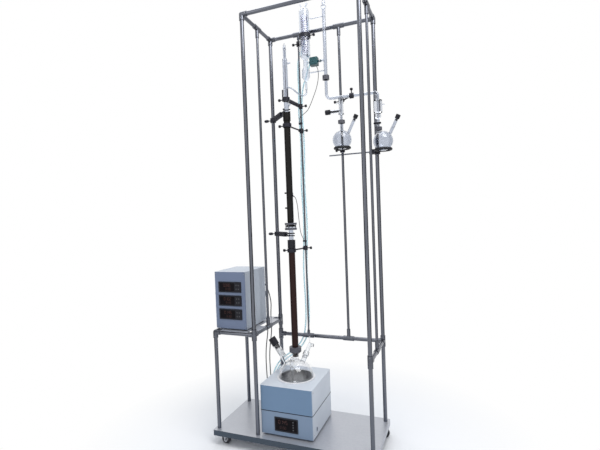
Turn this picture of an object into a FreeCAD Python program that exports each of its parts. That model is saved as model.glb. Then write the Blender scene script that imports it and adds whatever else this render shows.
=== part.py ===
import FreeCAD, Part
import math
import os
import re
import Sketcher
from FreeCAD import Placement, Rotation, Vector

# A floor-standing glass fractional distillation unit on a wheeled stainless tube frame.
# X runs along the tray towards the receivers, Y towards the back and Z up. The origin is on
# the floor, under the middle of the tray. Every length is in millimetres.

# ---------------------------------------------------------------- driving dimensions

SIZES = {
    # tray and casters
    "tray_length": 1057, "tray_depth": 475, "tray_height": 100, "tray_lip": 35, "tray_wall": 2,
    "tray_corner": 8, "caster_inset": 48, "caster_plate": 58, "caster_plate_wall": 3,
    "caster_trail": 20, "fork_wall": 2.5, "fork_crown": 5, "crown_radius": 22,
    "wheel_radius": 30, "wheel_width": 22, "hub_gap": 0.5, "axle_radius": 4, "kingpin_radius": 5,
    "running_gap": 0.06, "swivel_gap": 0.3,
    # tube frame
    "frame_length": 725, "frame_depth": 403, "table_length": 281, "post_inset": 25,
    "post_radius": 12.5, "post_wall": 1.2, "slim_radius": 8.5, "slim_wall": 1.2,
    "rail_height": 2600, "low_rail_height": 528, "shelf_height": 628,
    "socket_wall": 3.5, "socket_gap": 0.1, "socket_length": 36, "slim_socket_length": 62,
    "socket_core": 13, "rear_slim_x": 275.5, "shelf_wall": 1.5, "shelf_notch": 42,
    # heating mantle
    "mantle_width": 346, "mantle_depth": 375, "mantle_height": 312, "mantle_corner": 10,
    "sheet_wall": 1.5, "nest_gap": 0.3, "mantle_split": 155, "mantle_slot": 3, "mantle_tongue": 14,
    "hood_margin": 13, "well_lip": 4, "well_flange": 24, "display_width": 156,
    "display_height": 88, "display_bottom": 37, "display_depth": 18, "display_proud": 2,
    "display_flange": 3, "switch_y": 114, "switch_middle": 50, "rocker_width": 13,
    "rocker_height": 22, "rocker_depth": 8, "switch_rim": 3, "rocker_gap": 0.8, "rocker_pin": 2,
    "gland_radius": 8, "gland_length": 10, "gland_bore_gap": 0.3, "gland_side": 110,
    "gland_rise": 95,
    "foot_radius": 12, "foot_height": 12, "foot_inset": 30,
    # control box
    "box_width": 223, "box_depth": 285, "box_height": 366, "box_left": 4, "box_front": 20,
    "box_foot_height": 9, "box_corner": 5, "box_gland_rise": 250, "panel_wall": 2, "meter_width": 166,
    "meter_height": 68, "meter_pitch": 87.5, "lowest_meter": 60, "meter_depth": 30,
    "meter_proud": 3, "meter_flange": 3, "strip_height": 12, "strip_proud": 1.2,
    # flask
    "column_x": -31.5, "glass_wall": 2.5, "flask_radius": 112, "flask_neck_height": 170,
    "neck_radius": 20, "flange_radius": 30, "flange_height": 10, "joint_gap": 0.3,
    "left_neck_tilt": 35, "left_neck_length": 240, "right_neck_tilt": 25,
    "right_neck_length": 175, "right_neck_radius": 16, "front_neck_x": 6, "front_neck_y": 78,
    "front_neck_start": 60, "front_neck_top": 132, "front_neck_radius": 14,
    "side_flange_radius": 25, "side_flange_height": 12, "stopper_depth": 25,
    "cap_height": 55, "cap_radius": 24, "adapter_length": 62, "adapter_radius": 13,
    "vent_length": 58, "vent_radius": 3.5, "thermowell_radius": 5, "thermowell_depth": 170,
    "thermowell_collar": 10,
    # column
    "lower_column_length": 724, "upper_column_length": 733, "column_radius": 21,
    "column_bore": 14, "cap_ring_radius": 24.5, "cap_ring_height": 54, "seat_depth": 40,
    "cone_depth": 38, "joint_radius": 16, "joint_length": 85, "joint_flange": 8,
    "port_radius": 5, "port_length": 18, "lower_port": 122, "upper_port": 219,
    "clamp_radius": 39, "clamp_height": 30, "clamp_below": 4, "ring_height": 12,
    "bolt_radius": 3, "bolt_circle": 34.5,
    # column head
    "head_radius": 16.5, "head_wall": 2, "head_length": 338, "head_top_radius": 10,
    "head_top_length": 76, "thermometer_radius": 3, "thermometer_depth": 330,
    "thermometer_cap": 14, "arm_radius": 5, "arm_wall": 1.2, "side_port_height": 26,
    "side_port_length": 42, "head_port_height": 312, "arm_height": 166,
    # condenser, riser and delivery tube
    "glass_y": 110, "condenser_x": 70, "condenser_bottom": 2187, "condenser_length": 533,
    "condenser_radius": 34,
    "tail_radius": 7, "bulb_radius": 27, "pinch_radius": 15, "outlet_radius": 9,
    "outlet_length": 42, "outlet_tilt": 32, "coil_radius": 24, "coil_wire": 3, "coil_pitch": 14,
    "coil_start": 205.4, "coil_turns": 20,
    "nipple_radius": 5, "nipple_bore": 3, "nipple_length": 24, "upper_nipple": 485,
    "lower_nipple": 240, "branch_radius": 8, "branch_length": 26, "valve_x": 130,
    "valve_bottom": 2335, "valve_width": 52, "valve_depth": 40, "valve_height": 50,
    "valve_port_radius": 7, "riser_x": 206, "riser_radius": 11.5, "riser_wall": 2,
    "riser_bottom": 2245, "riser_bulb": 17, "ball_flange": 18, "ball_flange_height": 8,
    "ball_clip_radius": 22, "ball_clip_height": 27, "clip_lip": 1.2, "bridge_radius": 4,
    "bridge_stub": 8, "riser_length": 496, "riser_bulb_height": 440,
    "low_bridge": 2293, "high_bridge": 2640, "delivery_radius": 10, "delivery_wall": 1.8,
    "delivery_drop": 136, "delivery_fall": 5, "elbow_radius": 32, "last_elbow_radius": 19,
    "left_branch_drop": 29, "right_branch_drop": 45,
    # take-offs and receivers
    "left_receiver_x": 300, "right_receiver_x": 560, "right_takeoff_x": 534,
    "receiver_radius": 61, "receiver_wall": 2, "receiver_neck": 11, "left_takeoff_length": 130,
    "left_neck_reach": 115, "right_takeoff_length": 184, "right_neck_reach": 78,
    "second_neck_radius": 10, "second_neck_tilt": 27, "second_neck_length": 126,
    "second_neck_start": 30, "second_neck_rise": 15, "small_cap_radius": 14,
    "small_cap_height": 24, "small_stopper_depth": 14, "takeoff_flange": 15,
    "takeoff_flange_height": 7, "takeoff_bore": 5, "stem_radius": 9, "branch_tube": 14,
    "left_key_rise": 71, "barrel_radius": 11, "barrel_length": 68, "key_radius": 7, "key_end": 7,
    "knob_radius": 16, "knob_length": 30, "knob_clearance": 6, "nub_length": 17,
    "nub_foot_radius": 7, "nub_foot_length": 3,
    "left_nub_rise": 118, "right_nub_rise": 144, "right_key_rise": 28, "front_barrel": 22,
    "jacket_radius": 27, "jacket_start": 99, "jacket_length": 75,
    "handle_radius": 4, "handle_length": 46, "key_clip_radius": 22, "key_clip_height": 20,
    # supports
    "rod_x": -10, "rod_radius": 6, "boss_wall": 8, "boss_height": 30, "bar_radius": 5,
    "bar_gap": 0.1, "bar_start": 2, "jaw_gap": 0.3, "jaw_wall": 7, "jaw_height": 24,
    "socket_bar_wall": 2, "screw_radius": 3.5, "screw_length": 20, "screw_head": 8,
    "screw_head_length": 12,
    "finger_radius": 4, "finger_height": 74, "ring_radius": 45, "ring_wire": 5.5,
    "lower_clamp": 1138, "upper_clamp": 1943, "head_clamp": 2110, "condenser_clamp": 2535,
    "condenser_jaw_wall": 5, "delivery_clamp_x": 371, "extension_radius": 4.5, "extension_start": 190,
    "extension_offset": 19,
    "spare_low": 1240, "spare_high": 2040, "spare_length": 60,
    # cords
    "thin_lead": 2, "cable_radius": 3.5, "hose_radius": 5, "clip_length": 12,
}

doc = FreeCAD.newDocument("DistillationUnit")
sheet = doc.addObject("Spreadsheet::Sheet", "Sizes")
for row, (alias, size) in enumerate(SIZES.items(), start=1):
    sheet.set("A%d" % row, str(size))
    sheet.setAlias("A%d" % row, alias)
doc.recompute()


def linked(text):
    """The text of an expression, with the sheet's name put before each of its sizes."""

    def named(word):
        return "Sizes." + word[0] if word[0] in SIZES else word[0]

    return re.sub(r"[A-Za-z_]\w*", named, str(text))


def value(text):
    """What an expression comes to, as a number."""
    return float(sheet.evalExpression(linked(text)))


def point(at):
    """A point whose three coordinates are expressions, as a vector."""
    return Vector(*(value(text) for text in at))


def moved(at, dx="0", dy="0", dz="0"):
    """A point of expressions, shifted."""
    return tuple("%s + (%s)" % pair for pair in zip(at, (dx, dy, dz)))


# Places that many pieces share, as expressions of the sizes.
RIGHT = "(tray_length / 2 - post_inset)"
LEFT = "(%s - frame_length)" % RIGHT
TABLE = "(%s - table_length)" % LEFT
FRONT = "(-frame_depth / 2)"
REAR = "(frame_depth / 2)"
TOP_RAIL = "(tray_height + rail_height)"
LOW_RAIL = "(tray_height + low_rail_height)"
SHELF_RAIL = "(tray_height + shelf_height)"
SHELF_TOP = "(%s + post_radius + shelf_wall)" % SHELF_RAIL
FLASK = ("column_x", "0", "(tray_height + mantle_height)")
NECK_TOP = "(%s + flask_neck_height)" % FLASK[2]
LOWER_TOP = "(%s + joint_gap + lower_column_length)" % NECK_TOP
JOINT_TOP = "(%s + joint_length)" % LOWER_TOP
UPPER_TOP = "(%s + joint_gap + upper_column_length)" % JOINT_TOP
HEAD_TOP = "(%s + head_length + head_top_length)" % UPPER_TOP
DELIVERY = "(tray_height + riser_bottom - delivery_drop)"
LEFT_TAKEOFF_TOP = "(%s - left_branch_drop)" % DELIVERY
RIGHT_TAKEOFF_TOP = "(%s - right_branch_drop)" % DELIVERY
LEFT_NECK_TOP = "(%s - left_takeoff_length)" % LEFT_TAKEOFF_TOP
RIGHT_NECK_TOP = "(%s - right_takeoff_length)" % RIGHT_TAKEOFF_TOP
LEFT_RECEIVER = ("left_receiver_x", "glass_y", "(%s - left_neck_reach)" % LEFT_NECK_TOP)
RIGHT_RECEIVER = ("right_receiver_x", "glass_y", "(%s - right_neck_reach)" % RIGHT_NECK_TOP)

TURNS = {
    "x": Rotation(Vector(0, 0, 1), Vector(1, 0, 0)),
    "-x": Rotation(Vector(0, 0, 1), Vector(-1, 0, 0)),
    "y": Rotation(Vector(0, 0, 1), Vector(0, 1, 0)),
    "-y": Rotation(Vector(0, 0, 1), Vector(0, -1, 0)),
    "z": Rotation(),
    "-z": Rotation(Vector(1, 0, 0), 180),
}
parts = []

# ---------------------------------------------------------------- building blocks


def bind(thing, **sizes):
    """Ties properties of an object to expressions of the sheet's sizes."""
    for name, text in sizes.items():
        thing.setExpression(name, linked(text))


def place(thing, at, turn=Rotation()):
    """Turns an object about its own origin and ties that origin to a point."""
    thing.Placement = Placement(Vector(), turn)
    for axis, text in zip("xyz", at):
        thing.setExpression("Placement.Base." + axis, linked(text))
    return thing


def box(size, at, turn=Rotation()):
    """A block, centred on its place in its own X and Y and standing on it."""
    block = doc.addObject("Part::Box", "Block")
    bind(block, Length=size[0], Width=size[1], Height=size[2])
    shift = turn.multVec(Vector(-value(size[0]) / 2, -value(size[1]) / 2, 0))
    if turn.isIdentity():
        return place(block, moved(at, "-(%s) / 2" % size[0], "-(%s) / 2" % size[1]))
    return place(block, moved(at, shift.x, shift.y, shift.z), turn)


def rod(radius, length, at, turn=Rotation()):
    """A round bar that starts at its place."""
    bar = doc.addObject("Part::Cylinder", "Bar")
    bind(bar, Radius=radius, Height=length)
    return place(bar, at, turn)


def cone(start, end, length, at, turn=Rotation()):
    """A tapered round bar, from one radius to the other."""
    taper = doc.addObject("Part::Cone", "Taper")
    bind(taper, Radius1=start, Radius2=end, Height=length)
    return place(taper, at, turn)


def ball(radius, at):
    """A sphere about its place."""
    sphere = doc.addObject("Part::Sphere", "Ball")
    bind(sphere, Radius=radius)
    return place(sphere, at)


def ring(radius, wire, at, turn=Rotation()):
    """A round wire ring about its place."""
    hoop = doc.addObject("Part::Torus", "Hoop")
    bind(hoop, Radius1=radius, Radius2=wire)
    return place(hoop, at, turn)


def fuse(*pieces):
    """One solid of several that touch or overlap."""
    joined = doc.addObject("Part::MultiFuse", "Joined")
    joined.Shapes = list(pieces)
    joined.Refine = True
    return joined


def cut(base, *tools):
    """A solid less one or more others."""
    result = doc.addObject("Part::Cut", "Cut")
    result.Base = base
    result.Tool = tools[0] if len(tools) == 1 else fuse(*tools)
    return result


def group(pieces):
    """Separate solids kept as one object."""
    bundle = doc.addObject("Part::Compound", "Group")
    bundle.Links = list(pieces)
    return bundle


def tube(radius, wall, length, at, turn=Rotation()):
    """A round tube that starts at its place."""
    return cut(rod(radius, length, at, turn), rod("(%s) - (%s)" % (radius, wall), length, at, turn))


def keep(name, thing):
    """Names a finished sub-part, which is then written to a file of that name."""
    thing.Label = name
    parts.append(thing)
    return thing


def origin_plane(body, role):
    """One of a body's own base planes."""
    return next(plane for plane in body.Origin.OriginFeatures if plane.Role == role)


def hold(sketch, geometry, end, x, y):
    """Ties one end of a sketch line or arc to a place given by two expressions."""
    if value(x) == 0:
        sketch.addConstraint(Sketcher.Constraint("PointOnObject", geometry, end, -2))
    else:
        index = sketch.addConstraint(Sketcher.Constraint("DistanceX", -1, 1, geometry, end, value(x)))
        sketch.setExpression("Constraints[%d]" % index, linked(x))
    if value(y) == 0:
        sketch.addConstraint(Sketcher.Constraint("PointOnObject", geometry, end, -1))
    else:
        index = sketch.addConstraint(Sketcher.Constraint("DistanceY", -1, 1, geometry, end, value(y)))
        sketch.setExpression("Constraints[%d]" % index, linked(y))


def profile(body, role, corners):
    """A closed sketch through corners of (x, y), all expressions. A corner with a third entry starts
    an arc of that radius, which bulges to the left of the way round where the fourth entry is 1 and
    to the right where it is -1."""
    sketch = body.newObject("Sketcher::SketchObject", "Profile")
    sketch.AttachmentSupport = [(origin_plane(body, role), "")]
    sketch.MapMode = "FlatFace"
    places = [Vector(value(corner[0]), value(corner[1]), 0) for corner in corners]
    starts, ends = [], []
    for index, corner in enumerate(corners):
        start, end = places[index], places[(index + 1) % len(places)]
        if len(corner) == 2:
            sketch.addGeometry(Part.LineSegment(start, end))
            starts.append(1)
            ends.append(2)
            continue
        radius, side = value(corner[2]), corner[3]
        chord = end - start
        left = Vector(-chord.y, chord.x, 0).normalize()
        rise = math.sqrt(max(radius ** 2 - (chord.Length / 2) ** 2, 0))
        centre = (start + end) / 2 - left * rise * side
        middle = centre + left * radius * side
        sketch.addGeometry(Part.Arc(start, middle, end))
        arc = sketch.Geometry[index]
        forward = arc.StartPoint.distanceToPoint(start) < arc.EndPoint.distanceToPoint(start)
        starts.append(1 if forward else 2)
        ends.append(2 if forward else 1)
    for index, corner in enumerate(corners):
        after = (index + 1) % len(corners)
        sketch.addConstraint(Sketcher.Constraint("Coincident", index, ends[index], after, starts[after]))
        hold(sketch, index, starts[index], corner[0], corner[1])
        if len(corner) > 2:
            size = sketch.addConstraint(Sketcher.Constraint("Radius", index, value(corner[2])))
            sketch.setExpression("Constraints[%d]" % size, linked(corner[2]))
    return sketch


def turned(corners, at, turn=Rotation()):
    """A body turned about its own Z axis from half of its section, as corners of (radius, height)."""
    body = doc.addObject("PartDesign::Body", "Turned")
    sketch = profile(body, "XZ_Plane", corners)
    turning = body.newObject("PartDesign::Revolution", "Turning")
    turning.Profile = sketch
    turning.ReferenceAxis = (sketch, ["V_Axis"])
    turning.Angle = 360
    body.Tip = turning
    return place(body, at, turn)


def slab(length, width, height, radius, at, turn=Rotation()):
    """A block with rounded upright edges, centred on its place and standing on it."""
    body = doc.addObject("PartDesign::Body", "Slab")
    half_x, half_y = "(%s) / 2" % length, "(%s) / 2" % width
    reach_x, reach_y = "%s - (%s)" % (half_x, radius), "%s - (%s)" % (half_y, radius)
    sketch = profile(body, "XY_Plane", [
        ("-(%s)" % reach_x, "-(%s)" % half_y), (reach_x, "-(%s)" % half_y, radius, -1),
        (half_x, "-(%s)" % reach_y), (half_x, reach_y, radius, -1),
        (reach_x, half_y), ("-(%s)" % reach_x, half_y, radius, -1),
        ("-(%s)" % half_x, reach_y), ("-(%s)" % half_x, "-(%s)" % reach_y, radius, -1),
    ])
    pad = body.newObject("PartDesign::Pad", "Pad")
    pad.Profile = sketch
    bind(pad, Length=height)
    body.Tip = pad
    return place(body, at, turn)


def plate(corners, thickness, role, at, turn=Rotation(), middle=False):
    """A flat plate of any outline, on one of its own base planes."""
    body = doc.addObject("PartDesign::Body", "Plate")
    pad = body.newObject("PartDesign::Pad", "Pad")
    pad.Profile = profile(body, role, corners)
    pad.Midplane = middle
    bind(pad, Length=thickness)
    body.Tip = pad
    return place(body, at, turn)


def rounded_path(points, largest=None):
    """Straight runs through the points, joined by arcs as large as the runs allow or by arcs of the
    radii given, and the smallest radius of them."""
    edges, tightest, last = [], math.inf, points[0]
    for index, corner in enumerate(points[1:-1]):
        back, ahead = points[index] - corner, points[index + 2] - corner
        half_turn = (math.pi - back.getAngle(ahead)) / 2
        radius = 0.45 * min(back.Length, ahead.Length) / math.tan(half_turn)
        if largest:
            radius = min(radius, largest[index])
        reach = radius * math.tan(half_turn)
        tightest = min(tightest, radius)
        back.normalize()
        ahead.normalize()
        inward = (back + ahead).normalize()
        start, end = corner + back * reach, corner + ahead * reach
        middle = corner + inward * (radius / math.cos(half_turn) - radius)
        edges += [Part.LineSegment(last, start).toShape(), Part.Arc(start, middle, end).toShape()]
        last = end
    edges.append(Part.LineSegment(last, points[-1]).toShape())
    return edges, tightest


def bent(points, radius, largest=None):
    """A round bar along a bent path through the points."""
    route, _ = rounded_path(points, largest)
    path = doc.addObject("Part::Feature", "Path")
    path.Shape = Part.Wire(route)
    section = doc.addObject("Part::Circle", "Section")
    bind(section, Radius=radius)
    section.Placement = Placement(points[0], Rotation(Vector(0, 0, 1), points[1] - points[0]))
    sweep = doc.addObject("Part::Sweep", "Sweep")
    sweep.Sections = [section]
    sweep.Spine = (path, ["Edge%d" % (index + 1) for index in range(len(route))])
    sweep.Solid = True
    return sweep


# ---------------------------------------------------------------- tray and casters


def tray():
    """An inverted pan of folded sheet: a flat top with a lip down all round."""
    top = slab("tray_length", "tray_depth", "tray_lip", "tray_corner", ("0", "0", "tray_height - tray_lip"))
    inside = slab("tray_length - 2 * tray_wall", "tray_depth - 2 * tray_wall", "tray_lip",
                  "tray_corner - tray_wall", ("0", "0", "tray_height - tray_lip - tray_wall"))
    keep("base_tray", cut(top, inside))


CASTERS = {"front_left": (-1, -1), "front_right": (1, -1), "rear_left": (-1, 1), "rear_right": (1, 1)}
CROWN_TOP = "(tray_height - tray_wall - caster_plate_wall - swivel_gap)"


def caster_place(side_x, side_y):
    """The swivel axis of one caster, at the underside of the tray."""
    return ("%d * (tray_length / 2 - caster_inset)" % side_x, "%d * (tray_depth / 2 - caster_inset)" % side_y,
            "tray_height - tray_wall")


def caster_plate(at):
    """The fixed half of a caster: a top plate and the headed kingpin that the fork turns on."""
    top = moved(at, dz="-caster_plate_wall")
    head = moved(at, dz="-(caster_plate_wall + fork_crown + 2 * swivel_gap + 3)")
    return fuse(slab("caster_plate", "caster_plate", "caster_plate_wall", "6", top),
                rod("kingpin_radius", "fork_crown + 2 * swivel_gap + 3", head),
                rod("kingpin_radius + 4", "3", head))


def caster_fork(name, x, y):
    """A pressed fork: a crown bored for the kingpin, two cheeks that reach back to the axle, and
    the axle."""
    inner = "(wheel_width / 2 + hub_gap)"
    crown = cut(rod("crown_radius", "fork_crown", (x, y, CROWN_TOP + " - fork_crown")),
                rod("kingpin_radius + running_gap", "fork_crown", (x, y, CROWN_TOP + " - fork_crown")))
    drop = "(%s - wheel_radius)" % CROWN_TOP
    cheek = [("caster_trail - 9", "-(%s) - 9" % drop, "9 + 0.001", -1),
             ("caster_trail + 9", "-(%s) - 9" % drop), ("caster_trail + 10", "-(%s) + 6" % drop),
             ("17", "-fork_crown - 8"), ("17", "0"), ("-17", "0"),
             ("-17", "-fork_crown - 8"), ("caster_trail - 10", "-(%s) + 6" % drop)]
    sides = [plate(cheek, "fork_wall", "XZ_Plane",
                   (x, "%s + %d * (%s + fork_wall / 2)" % (y, side, inner), CROWN_TOP), middle=True)
             for side in (-1, 1)]
    axle = rod("axle_radius", "2 * %s + 2 * fork_wall + 6" % inner,
               ("%s + caster_trail" % x, "%s - %s - fork_wall - 3" % (y, inner), "wheel_radius"), TURNS["y"])
    keep("caster_fork_" + name, fuse(crown, axle, *sides))


def caster_wheel(name, x, y):
    """A wheel turned with a rounded tread and a hub that stands out on both sides."""
    half = "(wheel_width / 2)"
    bore = "(axle_radius + running_gap)"
    outline = [(bore, "0"), ("9", "0"), ("9", "2.5"), ("wheel_radius - 8", "2.5"), ("wheel_radius - 7", "1"),
               ("wheel_radius - 3", "1"), ("wheel_radius", "5"), ("wheel_radius", "wheel_width - 5"),
               ("wheel_radius - 3", "wheel_width - 1"), ("wheel_radius - 7", "wheel_width - 1"),
               ("wheel_radius - 8", "wheel_width - 2.5"), ("9", "wheel_width - 2.5"), ("9", "wheel_width"),
               (bore, "wheel_width")]
    keep("caster_wheel_" + name,
         turned(outline, ("%s + caster_trail" % x, "%s - %s" % (y, half), "wheel_radius"), TURNS["y"]))


def casters():
    places = {name: caster_place(*sides) for name, sides in CASTERS.items()}
    keep("caster_plates", group(caster_plate(at) for at in places.values()))
    for name, (x, y, _) in places.items():
        caster_fork(name, x, y)
        caster_wheel(name, x, y)


# ---------------------------------------------------------------- tube frame


def upright(x, y, bottom, top, radius="post_radius", wall="post_wall"):
    """A tube that stands between two heights."""
    return tube(radius, wall, "(%s) - (%s)" % (top, bottom), (x, y, bottom))


def rail(start, end, axis, at):
    """A level tube along X or Y between two places, short of the middle of each fitting."""
    length = "(%s) - (%s) - 2 * socket_core" % (end, start)
    first = "(%s) + socket_core" % start
    place_at = (first, at[0], at[1]) if axis == "x" else (at[0], first, at[1])
    return tube("post_radius", "post_wall", length, place_at, TURNS[axis])


def fitting(at, arms, through=None):
    """A cast tube fitting: a sleeve or socket for each tube that meets at its middle. An arm is a
    direction; one that ends in s takes a slim tube and one in r the support rod. through names the
    axis of a tube that passes."""
    outers, bores = [], []
    for arm in arms:
        turn = TURNS[arm.rstrip("sr")]
        radius = {"s": "slim_radius", "r": "rod_radius"}.get(arm[-1], "post_radius")
        length = "slim_socket_length" if radius == "slim_radius" else "socket_length"
        outers.append(rod("%s + socket_wall" % radius, length, at, turn))
        away = turn.multVec(Vector(0, 0, 1))
        start = "socket_core" if through is None else "(post_radius + socket_wall)"
        bores.append(rod("%s + socket_gap" % radius, length,
                         moved(at, *("%g * %s" % (part, start) for part in away)), turn))
    if through is None:
        outers.append(ball("post_radius + socket_wall", at))
    else:
        away = TURNS[through].multVec(Vector(0, 0, 1))
        first = moved(at, *("%g * socket_length" % -part for part in away))
        outers.append(rod("post_radius + socket_wall", "2 * socket_length", first, TURNS[through]))
        bores.append(rod("post_radius + socket_gap", "2 * socket_length", first, TURNS[through]))
    return cut(fuse(*outers), *bores)


def frame():
    deck = "tray_height"
    top = "%s - socket_core" % TOP_RAIL
    for name, x, y in (("front_left", LEFT, FRONT), ("front_right", RIGHT, FRONT),
                       ("rear_left", LEFT, REAR), ("rear_right", RIGHT, REAR)):
        keep("post_" + name, upright(x, y, deck, top))
    clear = "post_radius + socket_wall"
    spots = [(LEFT, "0", SHELF_RAIL), (RIGHT, "0", LOW_RAIL), ("rear_slim_x", REAR, LOW_RAIL)]
    keep("mid_posts", group(upright(x, y, "%s + %s" % (low, clear), "%s - (%s)" % (TOP_RAIL, clear),
                                    "slim_radius", "slim_wall") for x, y, low in spots))
    rails = [rail(LEFT, RIGHT, "x", (y, TOP_RAIL)) for y in (FRONT, REAR)]
    rails += [rail(FRONT, REAR, "y", (x, TOP_RAIL)) for x in (LEFT, RIGHT)]
    beside = "(post_radius + socket_wall - socket_core)"
    rails += [rail("%s + %s" % (LEFT, beside), "%s - %s" % (RIGHT, beside), "x", (REAR, LOW_RAIL)),
              rail("%s + %s" % (FRONT, beside), "%s - %s" % (REAR, beside), "y", (RIGHT, LOW_RAIL))]
    keep("cross_rails", group(rails))
    table = [upright(TABLE, y, deck, "%s - socket_core" % SHELF_RAIL) for y in (FRONT, REAR)]
    table += [rail(TABLE, "%s - %s" % (LEFT, beside), "x", (y, SHELF_RAIL)) for y in (FRONT, REAR)]
    table += [rail(FRONT, REAR, "y", (TABLE, SHELF_RAIL)),
              rail("%s + %s" % (FRONT, beside), "%s - %s" % (REAR, beside), "y", (LEFT, SHELF_RAIL))]
    keep("side_table_tubes", group(table))
    fittings = [fitting((x, y, TOP_RAIL), arms) for x, y, arms in (
        (LEFT, FRONT, ("-z", "x", "y")), (RIGHT, FRONT, ("-z", "-x", "y")),
        (LEFT, REAR, ("-z", "x", "-y")), (RIGHT, REAR, ("-z", "-x", "-y")))]
    fittings += [fitting((x, y, z), arms, through) for x, y, z, arms, through in (
        (LEFT, "0", TOP_RAIL, ("-zs",), "y"), (RIGHT, "0", TOP_RAIL, ("-zs",), "y"),
        ("rear_slim_x", REAR, TOP_RAIL, ("-zs",), "x"), ("rod_x", REAR, TOP_RAIL, ("-zr",), "x"),
        (LEFT, "0", SHELF_RAIL, ("zs",), "y"), (RIGHT, "0", LOW_RAIL, ("zs",), "y"),
        ("rear_slim_x", REAR, LOW_RAIL, ("zs",), "x"), ("rod_x", REAR, LOW_RAIL, ("zr",), "x"),
        (LEFT, REAR, LOW_RAIL, ("x",), "z"), (RIGHT, REAR, LOW_RAIL, ("-y", "-x"), "z"),
        (RIGHT, FRONT, LOW_RAIL, ("y",), "z"), (LEFT, FRONT, SHELF_RAIL, ("-x", "y"), "z"),
        (LEFT, REAR, SHELF_RAIL, ("-y", "-x"), "z"))]
    fittings += [fitting((TABLE, FRONT, SHELF_RAIL), ("-z", "x", "y")),
                 fitting((TABLE, REAR, SHELF_RAIL), ("-z", "x", "-y"))]
    keep("frame_fittings", group(fittings))


def shelf():
    """A sheet on the side table's four rails, notched round the corner fittings."""
    middle = "((%s) + (%s)) / 2" % (LEFT, TABLE)
    at = (middle, "0", "%s - shelf_wall" % SHELF_TOP)
    sheet_top = box(("table_length + 2 * slim_radius", "frame_depth + 2 * slim_radius", "shelf_wall"), at)
    stands = [(x, y) for x in (TABLE, LEFT) for y in (FRONT, REAR)] + [(LEFT, "0")]
    notches = [box(("2 * shelf_notch", "2 * shelf_notch", "3 * shelf_wall"),
                   (x, y, "%s - 2 * shelf_wall" % SHELF_TOP)) for x, y in stands]
    keep("shelf_plate", cut(sheet_top, *notches))


# ---------------------------------------------------------------- heating mantle

MANTLE_FLOOR = "(tray_height + foot_height)"
MANTLE_SPLIT = "(tray_height + mantle_split)"
SHEET_FIT = "(sheet_wall + nest_gap)"


def shell_slab(inset, height, at):
    """A slab of the mantle's outline, drawn in by an inset on every side."""
    return slab("mantle_width - 2 * (%s)" % inset, "mantle_depth - 2 * (%s)" % inset, height,
                "mantle_corner - (%s)" % inset, at)


def gland(at, turn):
    """A short round gland that stands out of a wall; its bore is cut with the wall."""
    return rod("gland_radius", "gland_length", at, turn)


def mantle_base():
    """The lower shell: a sheet tray with a tongue that the hood slides over, a window for the
    display, the rim of the rocker switch and two cable glands."""
    x, wall = "column_x", "sheet_wall"
    tongue = "(%s + mantle_tongue)" % MANTLE_SPLIT
    lap = "(%s - mantle_tongue)" % MANTLE_SPLIT
    shells = [shell_slab("0", "mantle_split - foot_height", (x, "0", MANTLE_FLOOR)),
              shell_slab(SHEET_FIT, "2 * mantle_tongue", (x, "0", lap))]
    hollows = [shell_slab(wall, "%s - %s - %s" % (lap, MANTLE_FLOOR, wall),
                          (x, "0", "%s + %s" % (MANTLE_FLOOR, wall))),
               shell_slab("2 * %s" % SHEET_FIT, "%s - %s" % (tongue, lap), (x, "0", lap))]
    window = box(("display_width - 2 * display_flange", "display_depth",
                  "display_height - 2 * display_flange"),
                 (x, "-mantle_depth / 2", "tray_height + display_bottom + display_flange"))
    face = ("%s + mantle_width / 2" % x, "-switch_y", "tray_height + switch_middle")
    rim = slab("rocker_height + 2 * (rocker_gap + switch_rim)", "rocker_width + 2 * (nest_gap + switch_rim)",
               "rocker_depth + display_proud", "3", moved(face, "-rocker_depth"), TURNS["x"])
    well = box(("rocker_height + 2 * rocker_gap", "rocker_width + 2 * nest_gap", "3 * rocker_depth"),
               moved(face, "-2 * rocker_depth"), TURNS["x"])
    pivot = rod("rocker_pin + running_gap", "rocker_width + 2 * switch_rim",
                moved(face, "-display_proud", "-(rocker_width / 2 + switch_rim)"), TURNS["y"])
    glands = [gland(at, TURNS["-x"]) for at in MANTLE_GLANDS]
    bores = [rod("cable_radius + gland_bore_gap", "gland_length + 1", moved(at, "1"), TURNS["-x"])
             for at in MANTLE_GLANDS]
    keep("mantle_base", cut(fuse(cut(fuse(*shells), *hollows), rim, *glands), window, well, pivot, *bores))


def mantle_hood():
    """The upper shell, open below, with a round opening for the flask."""
    x, wall = "column_x", "sheet_wall"
    foot = "(%s + mantle_slot)" % MANTLE_SPLIT
    height = "(%s - %s)" % (FLASK[2], foot)
    opening = rod("flask_radius + hood_margin", "3 * sheet_wall", moved(FLASK, dz="-2 * sheet_wall"))
    keep("mantle_hood", cut(shell_slab("0", height, (x, "0", foot)),
                            shell_slab(wall, "%s - %s" % (height, wall), (x, "0", foot)), opening))


def mantle_well():
    """The heated bowl, hung from a flange under the hood's top, with a lip round the flask."""
    bowl = "flask_radius + joint_gap"
    lip = "flask_radius + hood_margin - nest_gap"
    outline = [("0", "-(%s)" % bowl, bowl, -1), (bowl, "0"), (bowl, "well_lip"), (lip, "well_lip"),
               (lip, "-sheet_wall"), ("flask_radius + well_flange", "-sheet_wall"),
               ("flask_radius + well_flange", "-sheet_wall - 3"), ("flask_radius + 18", "-sheet_wall - 3"),
               ("flask_radius + 18", "-40"), ("flask_radius", "-75"), ("70", "-flask_radius"),
               ("64", "-flask_radius - 6"), ("0", "-flask_radius - 6")]
    keep("mantle_well", turned(outline, FLASK))


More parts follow.
